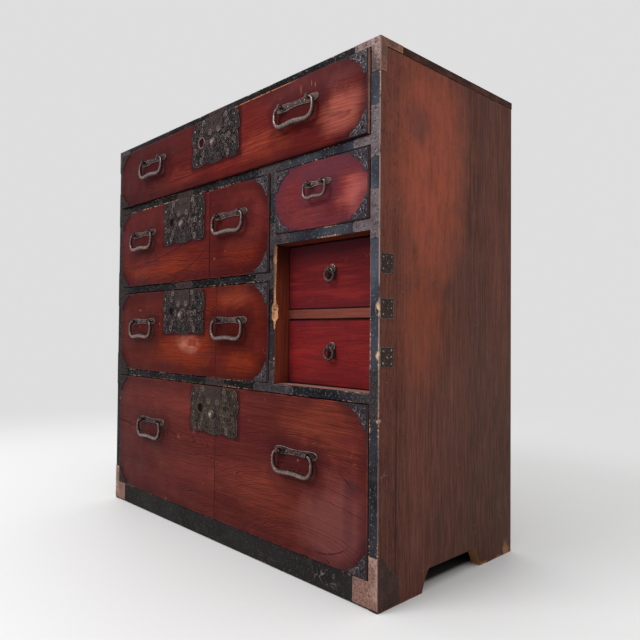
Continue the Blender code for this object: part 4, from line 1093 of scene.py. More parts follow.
def make_grime_and_shadow_halo():
    """Dark handling marks and painted shadow round a fitting that covers a box on a front."""
    inputs = {"Place": (0.0, 0.0, 0.0), "Centre": (0.0, 0.0, 0.0), "Half": (0.1, FAR, 0.1)}
    w, given, result = shader_group("grime_and_shadow_halo", {**inputs, "Reach": 0.02, "Seed": 0.0}, ("Mask",))
    away = w.vector("ABSOLUTE", w.vector("SUBTRACT", given["Place"], given["Centre"]))
    past = w.vector("LENGTH", w.vector("MAXIMUM", w.vector("SUBTRACT", away, given["Half"]), (0.0, 0.0, 0.0)))
    ragged = w.ease(w.cloud(given["Place"], 40.0, given["Seed"]), 0.3, 0.7, 0.5, 1.5)
    return put_out(w, result, Mask=w.ease(past, w.product(given["Reach"], ragged), 0.0))


grime_and_shadow_halo = make_grime_and_shadow_halo()


def grime_and_shadow_round(finish, fitting, reach, size=1.0):
    """Where hands and painted shadow darken a front round a fitting, which covers its box or a share of it.
    """
    low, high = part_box(fitting)
    half = (high - low) / 2 * size
    return finish.group(
        grime_and_shadow_halo, Place=finish.place, Centre=(low + high) / 2, Half=(half.x, FAR, half.z), Reach=reach,
        Seed=finish.seed,
    )["Mask"]


def box_corners(low, high):
    return [(x, y, z) for x in (low.x, high.x) for y in (low.y, high.y) for z in (low.z, high.z)]


def add_block(bm, low, high):
    """Add a plain block between two corners. Returns its edges."""
    verts = [bm.verts.new(corner) for corner in box_corners(low, high)]
    for face in ((0, 1, 3, 2), (4, 6, 7, 5), (0, 4, 5, 1), (2, 3, 7, 6), (0, 2, 6, 4), (1, 5, 7, 3)):
        bm.faces.new([verts[corner] for corner in face])
    return list({edge for vert in verts for edge in vert.link_edges})


def cut_away(bm, cutter):
    """Cut one mesh out of another and free both. Returns the mesh that is left."""
    objects = []
    for name, shape in (("kept", bm), ("cutter", cutter)):
        bmesh.ops.recalc_face_normals(shape, faces=shape.faces)
        mesh = bpy.data.meshes.new(name)
        shape.to_mesh(mesh)
        shape.free()
        objects.append(bpy.data.objects.new(name, mesh))
        bpy.context.scene.collection.objects.link(objects[-1])
    tool = objects[0].modifiers.new("cut", "BOOLEAN")
    tool.operation = "DIFFERENCE"
    tool.object = objects[1]
    left = bmesh.new()
    left.from_object(objects[0], bpy.context.evaluated_depsgraph_get())
    for made in objects:
        mesh = made.data
        bpy.data.objects.remove(made)
        bpy.data.meshes.remove(mesh)
    return left


for drawer, look in FRONT_LOOKS.items():
    low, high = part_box(drawer + "_front")
    low = Vector((low.x, low.y + CORNER_PROUD, low.z))
    bm = bmesh.new()
    edges = add_block(bm, low, high)
    bmesh.ops.bevel(bm, geom=edges, offset=FRONT_EDGE, segments=2, profile=0.5, affect="EDGES")
    cutter = bmesh.new()
    if "joint" in look:
        groove_low = Vector((look["joint"] - JOINT_GROOVE / 2, low.y - PAST_FACE, low.z - PAST_FACE))
        groove_high = Vector((look["joint"] + JOINT_GROOVE / 2, low.y + JOINT_GROOVE, high.z + PAST_FACE))
        add_block(cutter, groove_low, groove_high)
    if drawer in locked_drawers:
        bolt_low, bolt_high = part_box(drawer + "_lock_bolt")
        gap = Vector((POCKET_GAP, POCKET_GAP, POCKET_GAP))
        add_block(cutter, bolt_low - gap, Vector((bolt_high.x, bolt_high.y, high.z + PAST_FACE)) + gap)
    if cutter.verts:
        bm = cut_away(bm, cutter)
    else:
        cutter.free()

    front = Finish(drawer + "_lacquer", seed=look["seed"])
    front.plank(
        low, high, "xzy", look["dark"], look["light"], seen(50, 17, 17), look.get("ring_width", 0.0032), 0.04,
        hearts=look["hearts"], joint=look.get("joint"),
    )
    # Warm spots where light has faded the lacquer orange, which also carry a painted sheen.
    streaked = front.ease(front.grain["Streaks"], 0.3, 0.65, 0.3, 1.0)
    for *spot, share in look["spots"]:
        front.coat(look["glow"], front.smear(*spot, 0.4), share, streaked)
    wine = front.ease(front.noise(6.0, 6.0, 15.0, detail=3.0), 0.52, 0.72)
    front.coat(seen(84, 26, 34), wine, 0.5)
    # Pale hazes are painted sheen; darker ones darken patches of the lacquer.
    for *spot, share, tone in look["haze_and_sheen"]:
        front.coat(tone, front.smear(*spot, 0.3), share)
    # Painted shade darkens the front towards its left end.
    if "dusk" in look:
        start, end, share = look["dusk"]
        front.coat(look["shade"], front.ease(front.x, start, end, 0.0, share))
    front.coat(seen(46, 15, 15), front.grain["Lines"], look.get("bold", 0.82))
    for x, z, slope, bend, start, end in look.get("veins", ()):
        run = front.calc("SUBTRACT", front.x, x)
        line = front.calc("MULTIPLY_ADD", run, slope, z)
        curve = front.calc("MULTIPLY_ADD", front.product(run, bend), run, line)
        vein = front.ease(front.gap(front.z, curve), *VEIN_WIDTH)
        front.coat(seen(44, 16, 15), vein, front.stretch(front.x, start, end, VEIN_FADE), 0.68)
    from_middle = front.vector("ABSOLUTE", front.vector("SUBTRACT", front.place, (low + high) / 2))
    from_side, _, from_end = front.split(front.vector("SUBTRACT", (high - low) / 2, from_middle))
    from_corner = front.calc("ADD", from_side, from_end)
    shaded = front.ease(front.noise(20.0), 0.3, 0.62, 0.45, 1.0)
    front.coat(look["shade"], front.ease(front.edge, *EDGE_SHADE), shaded, 0.6)
    front.coat(look["shade"], front.ease(from_corner, *CORNER_SHADE), shaded, 0.7)
    # Handling dirt and painted shadow darken the front round each lock, handle plate and bail.
    for name in nodes:
        if name.startswith(drawer) and name.endswith(("lock_plate", "handle_plate", "bail")):
            reach, share = LOCK_GRIME_AND_SHADOW if name.endswith("lock_plate") else HANDLE_GRIME_AND_SHADOW
            front.coat(look["shade"], grime_and_shadow_round(front, name, reach), share)
            if name.endswith("lock_plate"):
                # A dark spot at the keyhole is painted shade in its hollow.
                plate_low, plate_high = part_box(name)
                x, z = (plate_low.x + plate_high.x) / 2 + KEYHOLE[0], plate_low.z + KEYHOLE[1]
                hollow = front.smear(x, z, KEYHOLE_SHADE, KEYHOLE_SHADE, 0.0)
                front.coat(look.get("hollow", seen(26, 12, 13)), hollow)
    if "joint" in look:
        width, share = look.get("joint_mark", (0.0016, 0.7))
        seam = front.ease(front.gap(front.x, look["joint"]), width, width / 4)
        front.coat(seen(38, 14, 14), seam, share)
    if "scrape" in look:
        smeared = front.ease(front.noise(30.0, 30.0, 75.0, detail=5.0), 0.3, 0.68, 0.15, 1.0)
        front.coat(seen(192, 124, 100), front.smear(*look["scrape"], 0.55), smeared, 0.52)
        x, z, half_width, half_height = look["slip"]
        across = front.ease(front.gap(front.x, x), half_width + SLIP_FADE, half_width - SLIP_FADE)
        upward = front.ease(front.gap(front.z, z), half_height + SLIP_FADE, half_height - SLIP_FADE)
        front.coat(seen(112, 36, 28), across, upward, 0.75)
    front.coat(seen(170, 112, 92), front.marks["Dents"], 0.3)
    front.coat(seen(160, 98, 86), front.marks["Scratches"], 0.25)
    broken = front.ease(front.noise(60.0), 0.4, 0.58)
    front.coat(seen(140, 76, 60), front.ease(front.edge, *EDGE_RUB), broken, 0.3)
    for x, z, length in look.get("strokes", ()):
        front.coat(seen(196, 128, 96), front.smear(x, z, STROKE_WIDTH, length, 0.2), 0.5)
    if "rubbed_top" in look:
        upper = front.ease(front.z, high.z - TOP_RUB[0], high.z - TOP_RUB[1])
        ends = front.stretch(front.x, *look["rubbed_top"], TOP_RUB_FADE)
        front.coat(seen(188, 124, 88), upper, ends, front.ease(front.noise(45.0), 0.36, 0.5), 0.6)
    rim = front.ease(front.edge, *CORNER_RIM)
    front.coat(seen(50, 41, 45), rim, front.ease(from_corner, *CORNER_RIM_END), 0.85)
    # A dark line along the top drawer's lower edge is painted shadow in the gap beneath it.
    if "foot" in look:
        start, end = look["foot"]
        front.coat(seen(34, 13, 13), front.ease(front.z, low.z + start, low.z + end), 0.75)
    end_face = front.ease(front.split(front.facing)[0], 0.5, 0.8)
    uneven = front.ease(front.noise(30.0), 0.3, 0.6, 0.4, 1.0)
    front.coat(look.get("end_tone", seen(96, 62, 62)), end_face, uneven)
    # End faces further back than the lit depth are painted dark as shade.
    lit = low.y + look.get("lit", 0.0014)
    front.coat(seen(22, 15, 15), end_face, front.ease(front.y, lit, lit + LIT_FADE))
    lacquer = front.wood(0.36, specular=0.014)
    add_piece(bm, drawer + "_board", drawer, (lacquer,), (drawer + "_front",))


# Inner drawer fronts
# Plain boards set back inside the open compartment, where the crimson lacquer has kept its colour.
# The upper board is darker along its top, which the rail above shades.

INNER_GAP_SHADOW = (0.0034, 0.0016)
INNER_DUSK = (0.03, 0.003)
INNER_SHADE = (0.04, 0.005)
RING_GRIME_AND_SHADOW = 0.006
INNER_TONES = ((seen(80, 20, 24), seen(104, 26, 29)), (seen(100, 24, 27), seen(132, 33, 33)))
for number, drawer in enumerate(("inner_upper_drawer", "inner_lower_drawer")):
    low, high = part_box(drawer + "_front")
    small = Finish(drawer + "_lacquer", seed=61.0 + number)
    small.plank(low, high, "xzy", *INNER_TONES[number], seen(58, 15, 18), 0.004, 0.03, bold=0.2)
    streaks = small.ease(small.noise(7.0, 7.0, 60.0, detail=3.0), 0.5, 0.68)
    small.coat(seen(152, 48, 42), streaks, 0.28)
    dusk = small.ease(small.edge, *INNER_DUSK)
    small.coat(seen(66, 24, 32), dusk, small.ease(small.noise(24.0), 0.3, 0.65), 0.45)
    if drawer == "inner_upper_drawer":
        shade = small.ease(small.z, high.z - INNER_SHADE[0], high.z - INNER_SHADE[1])
        small.coat(seen(54, 24, 34), shade, 0.55)
    # A near-black rim round each board is painted shadow in the gaps beside it.
    small.coat(seen(20, 9, 10), small.ease(small.edge, *INNER_GAP_SHADOW), 0.9)
    # Dirt and painted shadow darken the board round and inside the ring.
    small.coat(seen(30, 11, 13), grime_and_shadow_round(small, drawer + "_ring", RING_GRIME_AND_SHADOW, 0.7), 0.92)
    small.coat(seen(150, 84, 82), small.marks["Scratches"], 0.3)
    dress(drawer + "_front", small.wood(0.36, specular=0.05))


# Drawer corner irons
# A thin openwork iron at each corner of the outer fronts, with a hollowed long side and a pierced middle.
# They are cut from sheet, blackened, trimmed with wire curls and held to the board by six nails each.

CORNER_LEG = 0.037
CORNER_TIP = 0.0085
CORNER_SLANT = 0.001
CORNER_MARGIN = 0.0015
CORNER_NAIL = 0.0019
CORNER_WIRE = (0.0007, 0.0006)
SHADED_X = -0.2
CORNER_KNOTS = (
    (0.0, 0.0, 0.0), (CORNER_LEG, 0.0, 0.002), (CORNER_LEG - CORNER_SLANT, CORNER_TIP, -0.0012),
    (0.0258, 0.0128, 0.0012), (0.0182, 0.0182, 0.0012), (0.0128, 0.0258, -0.0012),
    (CORNER_TIP, CORNER_LEG - CORNER_SLANT, 0.002), (0.0, CORNER_LEG, 0.0),
)
CORNER_PIERCING = ((0.0080, 0.0080, 0.0), (0.0125, 0.0080, 0.0012), (0.0080, 0.0125, 0.0))
CORNER_NAILS = (
    (0.0034, 0.0034), (0.0318, 0.0045), (0.0045, 0.0318),
    (0.0215, 0.0062), (0.0062, 0.0215), (0.0150, 0.0150),
)
CORNER_CURLS = (
    (0.0262, 0.0062, 0.0036), (0.0062, 0.0262, 0.0036), (0.0170, 0.0112, 0.0034), (0.0112, 0.0170, 0.0034),
)

corner_outline = outline(CORNER_KNOTS, 6)
piercing = outline(CORNER_PIERCING, 5)
corner_iron = iron("drawer_corner_iron", seen(48, 45, 50), seen(84, 70, 70), seen(148, 138, 142), 0.38, 34.0)
for drawer in FRONT_LOOKS:
    low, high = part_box(drawer + "_front")
    bm = new_forging()
    for x, across in ((low.x + CORNER_MARGIN, 1), (high.x - CORNER_MARGIN, -1)):
        for z, upward in ((low.z + CORNER_MARGIN, 1), (high.z - CORNER_MARGIN, -1)):
            face = on_front(x, low.y + CORNER_PROUD, z)
            place = lambda right, up, out: face(right * across, up * upward, out)
            add_sheet(bm, place, corner_outline, CORNER_PROUD, holes=(piercing,), rim_wear=0.4)
            for right, up in CORNER_NAILS:
                add_nail(bm, place, right, up, CORNER_PROUD, radius=CORNER_NAIL, wear=1.1)
            for right, up, radius in CORNER_CURLS:
                add_curl(bm, place, right, up, radius, CORNER_PROUD, 0.9, CORNER_WIRE, 9)
    # Faces left of SHADED_X take the near-black iron as painted shade.
    for face in bm.faces:
        face.material_index = int(face.calc_center_median().x < SHADED_X)
    add_piece(bm, drawer + "_corner_irons", drawer, (corner_iron, shaded_left_iron))


# Locks
# A lobed plate on each locked drawer covers the lock and is nailed round its rim. It is chased with scrolls.
# It bears a raised panel, a domed boss and a ringed keyhole. The bolt behind it rises into the board above.

LOCK_SHEET = 0.0016
LOCK_MIDDLE = 0.0505
LOCK_KNOTS = (
    (0.0342, 0.0070, 0.0019), (0.0700, 0.0012, 0.0047), (0.0860, 0.0170, 0.0013), (0.0808, 0.0500, 0.0070),
    (0.0850, 0.0778, 0.0070), (0.0639, 0.1004, 0.0),
)
LOCK_FOOT_BOW = 0.0070
BORDER_SHARE = 0.945
BORDER_WIRE = (0.0012, 0.0009)
NAIL_SHARE = 0.88
LOCK_NAILS = 15
LOCK_NAIL = 0.0026
PANEL_HALF = 0.031
PANEL_DROP = 0.030
PANEL_ARCH = 0.006
PANEL_SHEET = 0.0012
PANEL_MARGIN = 0.0003
PANEL_NAIL_DROP = 0.006
BOSS_RISE = 0.043
BOSS = (
    (0.0152, 0.0, 0.1), (0.0146, 0.0012, 0.6), (0.0116, 0.0014, 0.0), (0.0112, 0.0036, 0.1),
    (0.0098, 0.0058, 0.3), (0.0066, 0.0074, 0.5), (0.0030, 0.0080, 0.7), (0.0, 0.0081, 0.8),
)
KEYHOLE_RADIUS = 0.0098
KEYHOLE_CLEAR = 0.017
KEY_RING_RADIUS = 0.0114
KEY_RING_WIRE = (0.0014, 0.0012)
OVAL_RISE = 0.044
OVAL = (0.020, 0.024)
OVAL_CLEAR = 1.25
OVAL_STEPS = 48
OVAL_WIRE = (0.0013, 0.0012)
SCROLL_STEP = 0.0128
SCROLL_RISE = 0.0112
SCROLL_ROWS = 8
SCROLL_COLUMNS = 7
SCROLL_FOOT = 0.0135
SCROLL_SIZE = 0.0062
SCROLL_EDGE = ((0.0, 0.068), (0.030, 0.078), (0.050, 0.073), (0.076, 0.077), (0.100, 0.056))
SCROLL_WIRE = (0.0012, 0.0014)
SCROLL_TAPER = 0.45
SCROLL_BEAD = 0.0014


def scroll(right, up, size, turns, start, hand, steps=20):
    """A spiral that winds in to a quarter of its size."""
    points = []
    for step in range(steps + 1):
        share = step / steps
        angle = math.radians(start) + hand * 2 * math.pi * turns * share
        radius = size * (1 - 0.78 * share)
        points.append((right + radius * math.cos(angle), up + radius * math.sin(angle)))
    return points


def shrunk(points, share):
    """An outline drawn in towards the middle of the lock plate."""
    return [(right * share, LOCK_MIDDLE + (up - LOCK_MIDDLE) * share) for right, up in points]


def mirrored(knots, last_bow):
    """The left half of an outline from the knots of its right half. Its last stretch has its own bow."""
    bows = [*reversed([bow for _, _, bow in knots[:-1]]), last_bow]
    return [(-right, up, bow) for (right, up, _), bow in zip(reversed(knots), bows)]


lock_outline = outline([*LOCK_KNOTS, *mirrored(LOCK_KNOTS, LOCK_FOOT_BOW)], 10)
lock_iron = iron("lock_iron", seen(22, 18, 20), seen(48, 36, 34), seen(162, 140, 136), 0.46, 35.0)
umber_iron = iron("umber_lock_iron", seen(40, 31, 26), seen(78, 61, 50), seen(140, 120, 106), 0.52, 36.0)
boss_iron = iron(
    "boss_iron", seen(58, 47, 46), seen(92, 70, 62), seen(186, 158, 148), 0.38, 24.0, polish=0.24,
)
bolt_iron = iron("bolt_iron", seen(112, 106, 104), seen(110, 80, 62), seen(170, 162, 158), 0.34, 37.0)
for drawer in locked_drawers:
    low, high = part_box(drawer + "_lock_plate")
    place = on_front((low.x + high.x) / 2, high.y, low.z)
    bm = new_forging()
    add_sheet(bm, place, lock_outline, LOCK_SHEET, holes=(circle(*KEYHOLE, KEYHOLE_RADIUS),), rim_wear=0.6)
    border = shrunk(lock_outline, BORDER_SHARE)
    add_sweep(bm, place, border, BORDER_WIRE, LOCK_SHEET, closed=True, sides=6, wear=0.25)
    top = high.z - low.z - PANEL_MARGIN
    panel = [
        (-PANEL_HALF, top - PANEL_DROP, PANEL_ARCH), (PANEL_HALF, top - PANEL_DROP, 0),
        (PANEL_HALF, top, 0), (-PANEL_HALF, top, 0),
    ]
    add_sheet(bm, place, outline(panel, 12), PANEL_SHEET, foot=LOCK_SHEET, rim_wear=0.3, slot=1)
    panel_face = LOCK_SHEET + PANEL_SHEET
    for right in STRIKE_CURLS:
        add_curl(bm, place, right * PANEL_HALF, top - PANEL_DROP * 0.5, STRIKE_CURL_RADIUS, panel_face, 0.25)
    plain_faces = set(bm.faces)
    add_turned(bm, place, 0.0, BOSS_RISE, BOSS, LOCK_SHEET, sides=28)
    for face in set(bm.faces) - plain_faces:
        face.material_index = 2
    ring = circle(*KEYHOLE, KEY_RING_RADIUS, 28)
    ring_wear = 0.85 if drawer == "top_drawer" else 0.45
    add_sweep(bm, place, ring, KEY_RING_WIRE, LOCK_SHEET, closed=True, wear=ring_wear)
    oval = [(OVAL[0] * right, OVAL_RISE + OVAL[1] * up) for right, up in circle(0.0, 0.0, 1.0, OVAL_STEPS)]
    add_sweep(bm, place, oval, OVAL_WIRE, LOCK_SHEET, closed=True, sides=6, wear=0.6)
    for row in range(SCROLL_ROWS):
        up = SCROLL_FOOT + row * SCROLL_RISE
        for column in range(SCROLL_COLUMNS):
            right = SCROLL_STEP * (column + (0.25 if row % 2 else 0.75))
            past_edge = right > between(SCROLL_EDGE, up)
            in_oval = math.hypot(right / OVAL[0], (up - OVAL_RISE) / OVAL[1]) < OVAL_CLEAR
            on_panel = right < PANEL_HALF + SCROLL_SIZE and up > top - PANEL_DROP
            if past_edge or in_oval or on_panel:
                continue
            chance = noise.noise((row * 3.7, column * 5.3, 1.5))
            size = SCROLL_SIZE * (1 + 0.25 * chance)
            turns = 1.4 + 0.4 * chance
            for hand in (-1, 1):
                if math.dist((right * hand, up), KEYHOLE) < KEYHOLE_CLEAR:
                    continue
                start = 90 + hand * (360 * chance - 60 * row)
                way = hand if (row + column) % 2 else -hand
                path = scroll(right * hand, up, size, turns, start, way)
                tapers = [1 - SCROLL_TAPER * step / len(path) for step in range(len(path))]
                wire = [(SCROLL_WIRE[0] * taper, SCROLL_WIRE[1]) for taper in tapers]
                add_sweep(bm, place, path, wire, LOCK_SHEET, sides=6, wear=0.62 + 0.7 * chance)
                add_nail(bm, place, right * hand, up, LOCK_SHEET, radius=SCROLL_BEAD, wear=0.9)
    studs = shrunk(lock_outline, NAIL_SHARE)
    for number in range(LOCK_NAILS):
        right, up = studs[round(number * len(studs) / LOCK_NAILS)]
        if abs(right) > PANEL_HALF + NAIL_RADIUS or up < LOCK_MIDDLE:
            add_nail(bm, place, right, up, LOCK_SHEET, radius=LOCK_NAIL, wear=0.95)
    for right in (-0.8, 0.8):
        add_nail(bm, place, right * PANEL_HALF, top - PANEL_NAIL_DROP, panel_face)
    skins = (umber_iron if drawer == "bottom_drawer" else lock_iron, strike_iron, boss_iron)
    add_piece(bm, drawer + "_lock_face", drawer, skins, (drawer + "_lock_plate",))
    dress(drawer + "_lock_bolt", bolt_iron)


# Handle plates
# A waisted iron plate behind each bail keeps the wood from being bruised, chased with two crossing lines.
# Two posts with eyes pass through it into the front and are clenched inside.

EYE_STEPS = 18
LINE_WIRE = (0.0006, 0.0005)
LINE_STEPS = 20
LINE_MARGIN = 0.006
LINE_SHARE = 0.55
BEAD_RADIUS = 0.0017
HANDLES = {
    "large": {
        "plate": (
            (0.0, -0.0048, -0.0004), (0.024, -0.0062, 0.0006), (0.0465, -0.0066, 0.0022),
            (0.0575, 0.0, 0.0022), (0.0465, 0.0066, 0.0006), (0.024, 0.0062, -0.0004),
        ),
        "sheet": 0.0015, "spacing": 0.077, "eye": 0.00445, "wall": 0.00115, "half_eye": 0.003,
        "width": 0.1035, "drop": 0.0376, "top_bend": 0.0125, "grip_bend": 0.0175, "rise": 0.0024,
        "grip": 0.0054, "end": 0.0028, "tail": 0.0035, "beads": 0.0115,
    },
    "small": {
        "plate": (
            (0.0, -0.0038, -0.0003), (0.013, -0.0047, 0.0005), (0.027, -0.0049, 0.0012),
            (0.0337, 0.0, 0.0012), (0.027, 0.0049, 0.0005), (0.013, 0.0047, -0.0003),
        ),
        "sheet": 0.0015, "spacing": 0.036, "eye": 0.00365, "wall": 0.00115, "half_eye": 0.003,
        "width": 0.055, "drop": 0.0255, "top_bend": 0.005, "grip_bend": 0.011, "rise": 0.0012,
        "grip": 0.0034, "end": 0.0020, "tail": 0.0035, "beads": 0.0070,
    },
}
# The top right and small drawer bails and plates keep the lit iron; the others take darker copies as painted
# shade.
LIT_BAILS = ("top_drawer_right_bail", "small_drawer_bail")
plate_iron = iron("handle_plate_iron", seen(64, 53, 51), seen(120, 96, 88), seen(184, 160, 152), 0.46, 38.0)
# A darker copy of the plate iron, painted shade for the plates that are not lit.
shaded_plate_iron = iron(
    "dark_handle_plate_iron", seen(47, 36, 36), seen(98, 76, 70), seen(176, 150, 144), 0.46, 38.0,
)
bails = [joint for joint in frame["joints"] if joint["name"].endswith("bail_swing")]
for joint in bails:
    bail = joint["child"]
    size = HANDLES["small" if bail.startswith("small") else "large"]
    sheet, neck = size["sheet"], size["half_eye"]
    node = bail.replace("bail", "handle_plate")
    low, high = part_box(node)
    pivot = Vector(joint["pos_m"])
    place = on_front(pivot.x, high.y, pivot.z)
    reach = high.y - pivot.y
    bm = new_forging()
    right_half = size["plate"]
    middle_top = (0.0, -right_half[0][1], right_half[-1][2])
    left_half = mirrored(right_half[1:], right_half[0][2])
    add_sheet(bm, place, outline([*right_half, middle_top, *left_half], 8), sheet)
    run = size["spacing"] / 2 - LINE_MARGIN
    for slope in (-1, 1):
        rise = slope * right_half[1][1] * LINE_SHARE
        shares = [step / LINE_STEPS for step in range(LINE_STEPS + 1)]
        path = [(run * (2 * share - 1), rise * math.cos(math.pi * share)) for share in shares]
        add_sweep(bm, place, path, LINE_WIRE, sheet, sides=6, wear=0.6)
    for bead in (-2, -1, 0, 1, 2):
        add_nail(bm, place, bead * size["beads"], 0.0, sheet, radius=BEAD_RADIUS, wear=1.0)
    stem = (
        (neck * 1.5, 0.0, 0.3), (neck * 1.35, 0.0008, 0.5), (neck, 0.0016, 0.2),
        (neck * 0.85, reach - size["eye"], 0.3),
    )
    loop = circle(0.0, 0.0, size["eye"], EYE_STEPS)
    for across in (-size["spacing"] / 2, size["spacing"] / 2):
        add_turned(bm, place, across, 0.0, stem, sheet * 0.5, sides=14)
        eye_place = lambda up, out, right: place(across + right, up, reach + out)
        add_sweep(bm, eye_place, loop, (size["wall"], neck), 0.0, closed=True, sides=10, wear=0.4)
    skin = plate_iron if bail in LIT_BAILS else shaded_plate_iron
    mount = bail.replace("bail", "handle_mount")
    add_piece(bm, mount, joint["parent"], (skin,), (node,))


# Bails
# Bar handles forged thick at the grip and drawn out thin, with their ends turned in through the eyes.
# Hands have rubbed the brown scale bright on the outside.

BEND_STEPS = 8
DRAWN_SHARE = 0.145
SWELL_POWER = 1.15
HAMMER_DEPTH = 0.07
BAIL_WEAR = {"polish": 0.22, "patchy": 0.45}
bail_iron = iron(
    "bail_iron", seen(77, 62, 59), seen(96, 74, 68), seen(156, 132, 126), 0.34, 39.0, **BAIL_WEAR,
)
# A darker copy of the bail iron, painted shade for the bails that are not lit.
dark_bail_iron = iron(
    "dark_bail_iron", seen(54, 41, 40), seen(76, 56, 52), seen(160, 134, 128), 0.34, 39.0, **BAIL_WEAR,
)
for joint in bails:
    bail = joint["child"]
    size = HANDLES["small" if bail.startswith("small") else "large"]
    half = size["width"] / 2
    start = size["spacing"] / 2 - size["half_eye"] - size["tail"]
    bend, grip_bend, drop = size["top_bend"], size["grip_bend"], size["drop"]
    run = half - grip_bend
    turns = [math.pi / 2 * step / BEND_STEPS for step in range(BEND_STEPS + 1)]
    path = [(start + (half - bend - start) * step / 4, 0.0) for step in range(4)]
    path += [(half - bend + bend * math.sin(turn), -bend + bend * math.cos(turn)) for turn in turns]
    foot = grip_bend - drop
    path += [(run + grip_bend * math.cos(turn), foot - grip_bend * math.sin(turn)) for turn in turns]
    for step in range(1, BEND_STEPS + 1):
        share = step / BEND_STEPS
        path.append((run * (1 - share), -drop + size["rise"] * (1 - math.cos(math.pi * share)) / 2))
    path += [(-right, up) for right, up in reversed(path[:-1])]
    lengths = [0.0]
    for first, second in zip(path, path[1:]):
        lengths.append(lengths[-1] + math.dist(first, second))
    pivot = Vector(joint["pos_m"])
    sizes = []
    for (right, up), length in zip(path, lengths):
        share = 1 - abs(2 * length / lengths[-1] - 1)
        swell = math.sin(math.pi / 2 * (max(0.0, share - DRAWN_SHARE) / (1 - DRAWN_SHARE)) ** SWELL_POWER)
        thick = size["end"] + (size["grip"] - size["end"]) * swell
        chance = noise.noise((right * 150 + pivot.x * 40, up * 150, pivot.z * 40))
        thick *= 1 - HAMMER_DEPTH * abs(chance)
        sizes.append((thick, thick))
    bm = new_forging()
    add_sweep(bm, on_front(*pivot), path, sizes, 0.0, sides=14, wear=0.74)
    skin = bail_iron if bail in LIT_BAILS else dark_bail_iron
    add_piece(bm, bail + "_bar", bail, (skin,), (bail,))


# Ring pulls
# A wire ring hangs in an eye on each inner drawer, over a small domed washer of sheet iron.
# The eye's shank goes through the washer and the front.

RING_RADIUS = 0.011
RING_WIRE = 0.0024
RING_EYE = 0.0036
RING_EYE_WIRE = (0.0008, 0.002)
for joint in (joint for joint in frame["joints"] if joint["name"].endswith("ring_swing")):
    ring_name = joint["child"]
    node = ring_name + "_plate"
    low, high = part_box(node)
    pivot = Vector(joint["pos_m"])
    reach = high.y - pivot.y
    washer = (high.x - low.x) / 2
    place = on_front(pivot.x, high.y, pivot.z)
    bm = new_forging()
    profile = (
        (washer, 0.0, 0.2), (washer, 0.0006, 0.7), (washer * 0.75, 0.0016, 0.3), (washer * 0.45, 0.0021, 0.4),
        (0.0022, 0.0023, 0.2), (0.0020, reach - RING_EYE, 0.3),
    )
    add_turned(bm, place, 0.0, 0.0, profile, sides=24)
    eye_place = lambda up, out, right: place(right, up, reach + out)
    eye = circle(0.0, 0.0, RING_EYE, EYE_STEPS)
    add_sweep(bm, eye_place, eye, RING_EYE_WIRE, 0.0, closed=True, wear=0.4)
    add_piece(bm, ring_name + "_mount", joint["parent"], (plate_iron,), (node,))
    bm = new_forging()
    loop = circle(0.0, -RING_RADIUS, RING_RADIUS, 32)
    add_sweep(bm, on_front(*pivot), loop, (RING_WIRE, RING_WIRE), 0.0, closed=True, sides=10, wear=0.5)
    add_piece(bm, ring_name + "_wire", ring_name, (bail_iron,), (ring_name,))


# Studio
# A plain pale floor, with a painted shadow under the chest, runs out into a pale background.
# One broad soft lamp hangs high on the left.
# The camera shows the chest's front and its right side from a little below half its height.

CAMERA_PLACE = (1.0826, -0.92275, 0.4392)
CAMERA_TURN = math.radians(46.35)
CAMERA_TILT = math.radians(1.15)
CAMERA_ROLL = math.radians(0.46)
CAMERA_LENS = 34.23
CAMERA_SENSOR = 36.0
BACKGROUND = (0.73, 0.73, 0.73, 1.0)
FLOOR_SIZE = 9.0
FLOOR_COLOUR = (0.69, 0.69, 0.69, 1.0)
FLOOR_ROUGHNESS = 0.6
UNDER_SHADOW_COLOUR = (0.05, 0.05, 0.05, 1.0)
UNDER_EDGE = 0.012
FLOOR_FADE = (1.2, 2.6)
SKY_HORIZON = 0.08
SKY_ZENITH = 1.42
LAMP_PLACE = Vector((-0.4, -2.2, 2.5))
LAMP_AIM = Vector((0.1, 0.0, 0.45))
LAMP_SIZE = 1.5
LAMP_POWER = 62.0


def pale_rays(wiring):
    """The rays that see the plain background."""
    rays = wiring.node("LightPath").outputs
    shown = wiring.calc("MAXIMUM", rays["Is Camera Ray"], rays["Is Glossy Ray"])
    return wiring.calc("MAXIMUM", shown, rays["Is Transmission Ray"])


bm = bmesh.new()
bmesh.ops.create_grid(bm, x_segments=1, y_segments=1, size=FLOOR_SIZE / 2)
floor_mesh = bpy.data.meshes.new("floor")
bm.to_mesh(floor_mesh)
bm.free()
floor = bpy.data.objects.new("floor", floor_mesh)
bpy.context.scene.collection.objects.link(floor)

paint = Finish("pale_floor")
low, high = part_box("bottom_board")
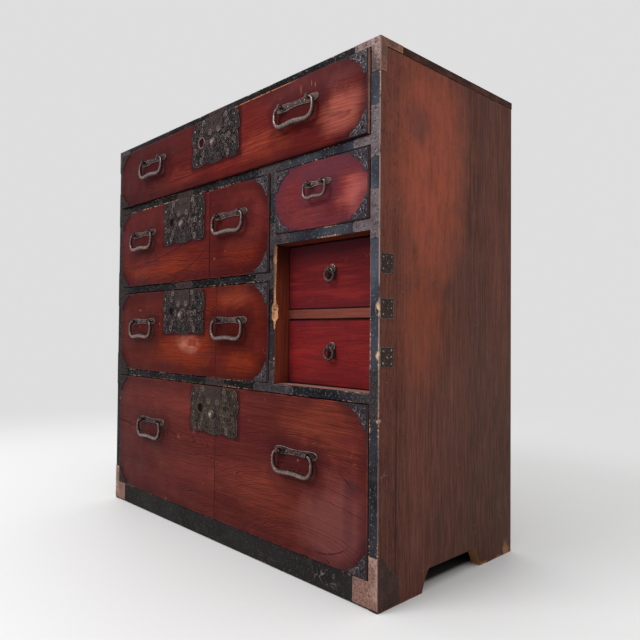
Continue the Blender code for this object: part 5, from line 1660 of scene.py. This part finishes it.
# The floor under the chest is painted dark as the chest's shadow.
across = paint.stretch(paint.x, low.x, high.x, UNDER_EDGE)
under = paint.product(across, paint.stretch(paint.y, low.y, high.y, UNDER_EDGE))
paint.tree.links.new(paint.blend(under, FLOOR_COLOUR, UNDER_SHADOW_COLOUR), paint.shader.inputs["Base Color"])
paint.shader.inputs["Roughness"].default_value = FLOOR_ROUGHNESS
away = paint.ease(paint.vector("LENGTH", paint.place), *FLOOR_FADE)
share = paint.product(away, pale_rays(paint))
glow = paint.node("Emission", {"Color": BACKGROUND})
faded = paint.node("MixShader", {0: share, 1: paint.shader.outputs[0], 2: glow.outputs[0]})
paint.tree.links.new(faded.outputs[0], paint.tree.nodes["Material Output"].inputs["Surface"])
floor_mesh.materials.append(paint.material)

world = bpy.data.worlds.new("studio")
bpy.context.scene.world = world
world.use_nodes = True
sky = Wiring(world.node_tree)
height = sky.split(sky.node("TexCoord").outputs["Generated"])[2]
light = sky.ease(height, 0.0, 1.0, SKY_HORIZON, SKY_ZENITH)
sky.tree.links.new(sky.blend(pale_rays(sky), light, BACKGROUND), sky.tree.nodes["Background"].inputs["Color"])

lamp = bpy.data.lights.new("soft_lamp", "AREA")
lamp.energy = LAMP_POWER
lamp.shape = "SQUARE"
lamp.size = LAMP_SIZE
lamp_object = bpy.data.objects.new("soft_lamp", lamp)
lamp_object.location = LAMP_PLACE
lamp_object.rotation_euler = (LAMP_AIM - LAMP_PLACE).to_track_quat("-Z", "Y").to_euler()
bpy.context.scene.collection.objects.link(lamp_object)

forward = math.cos(CAMERA_TILT)
ahead = Vector((-math.sin(CAMERA_TURN) * forward, math.cos(CAMERA_TURN) * forward, math.sin(CAMERA_TILT)))
level = Vector((math.cos(CAMERA_TURN), math.sin(CAMERA_TURN), 0))
upright = level.cross(ahead)
right = level * math.cos(CAMERA_ROLL) + upright * math.sin(CAMERA_ROLL)
up = upright * math.cos(CAMERA_ROLL) - level * math.sin(CAMERA_ROLL)
camera = bpy.data.cameras.new("camera")
camera.sensor_width = CAMERA_SENSOR
camera.lens = CAMERA_LENS
camera_object = bpy.data.objects.new("camera", camera)
turn = Matrix((right, up, -ahead)).transposed()
camera_object.matrix_world = Matrix.Translation(CAMERA_PLACE) @ turn.to_4x4()
bpy.context.scene.collection.objects.link(camera_object)
bpy.context.scene.camera = camera_object
bpy.context.scene.view_settings.view_transform = "Standard"
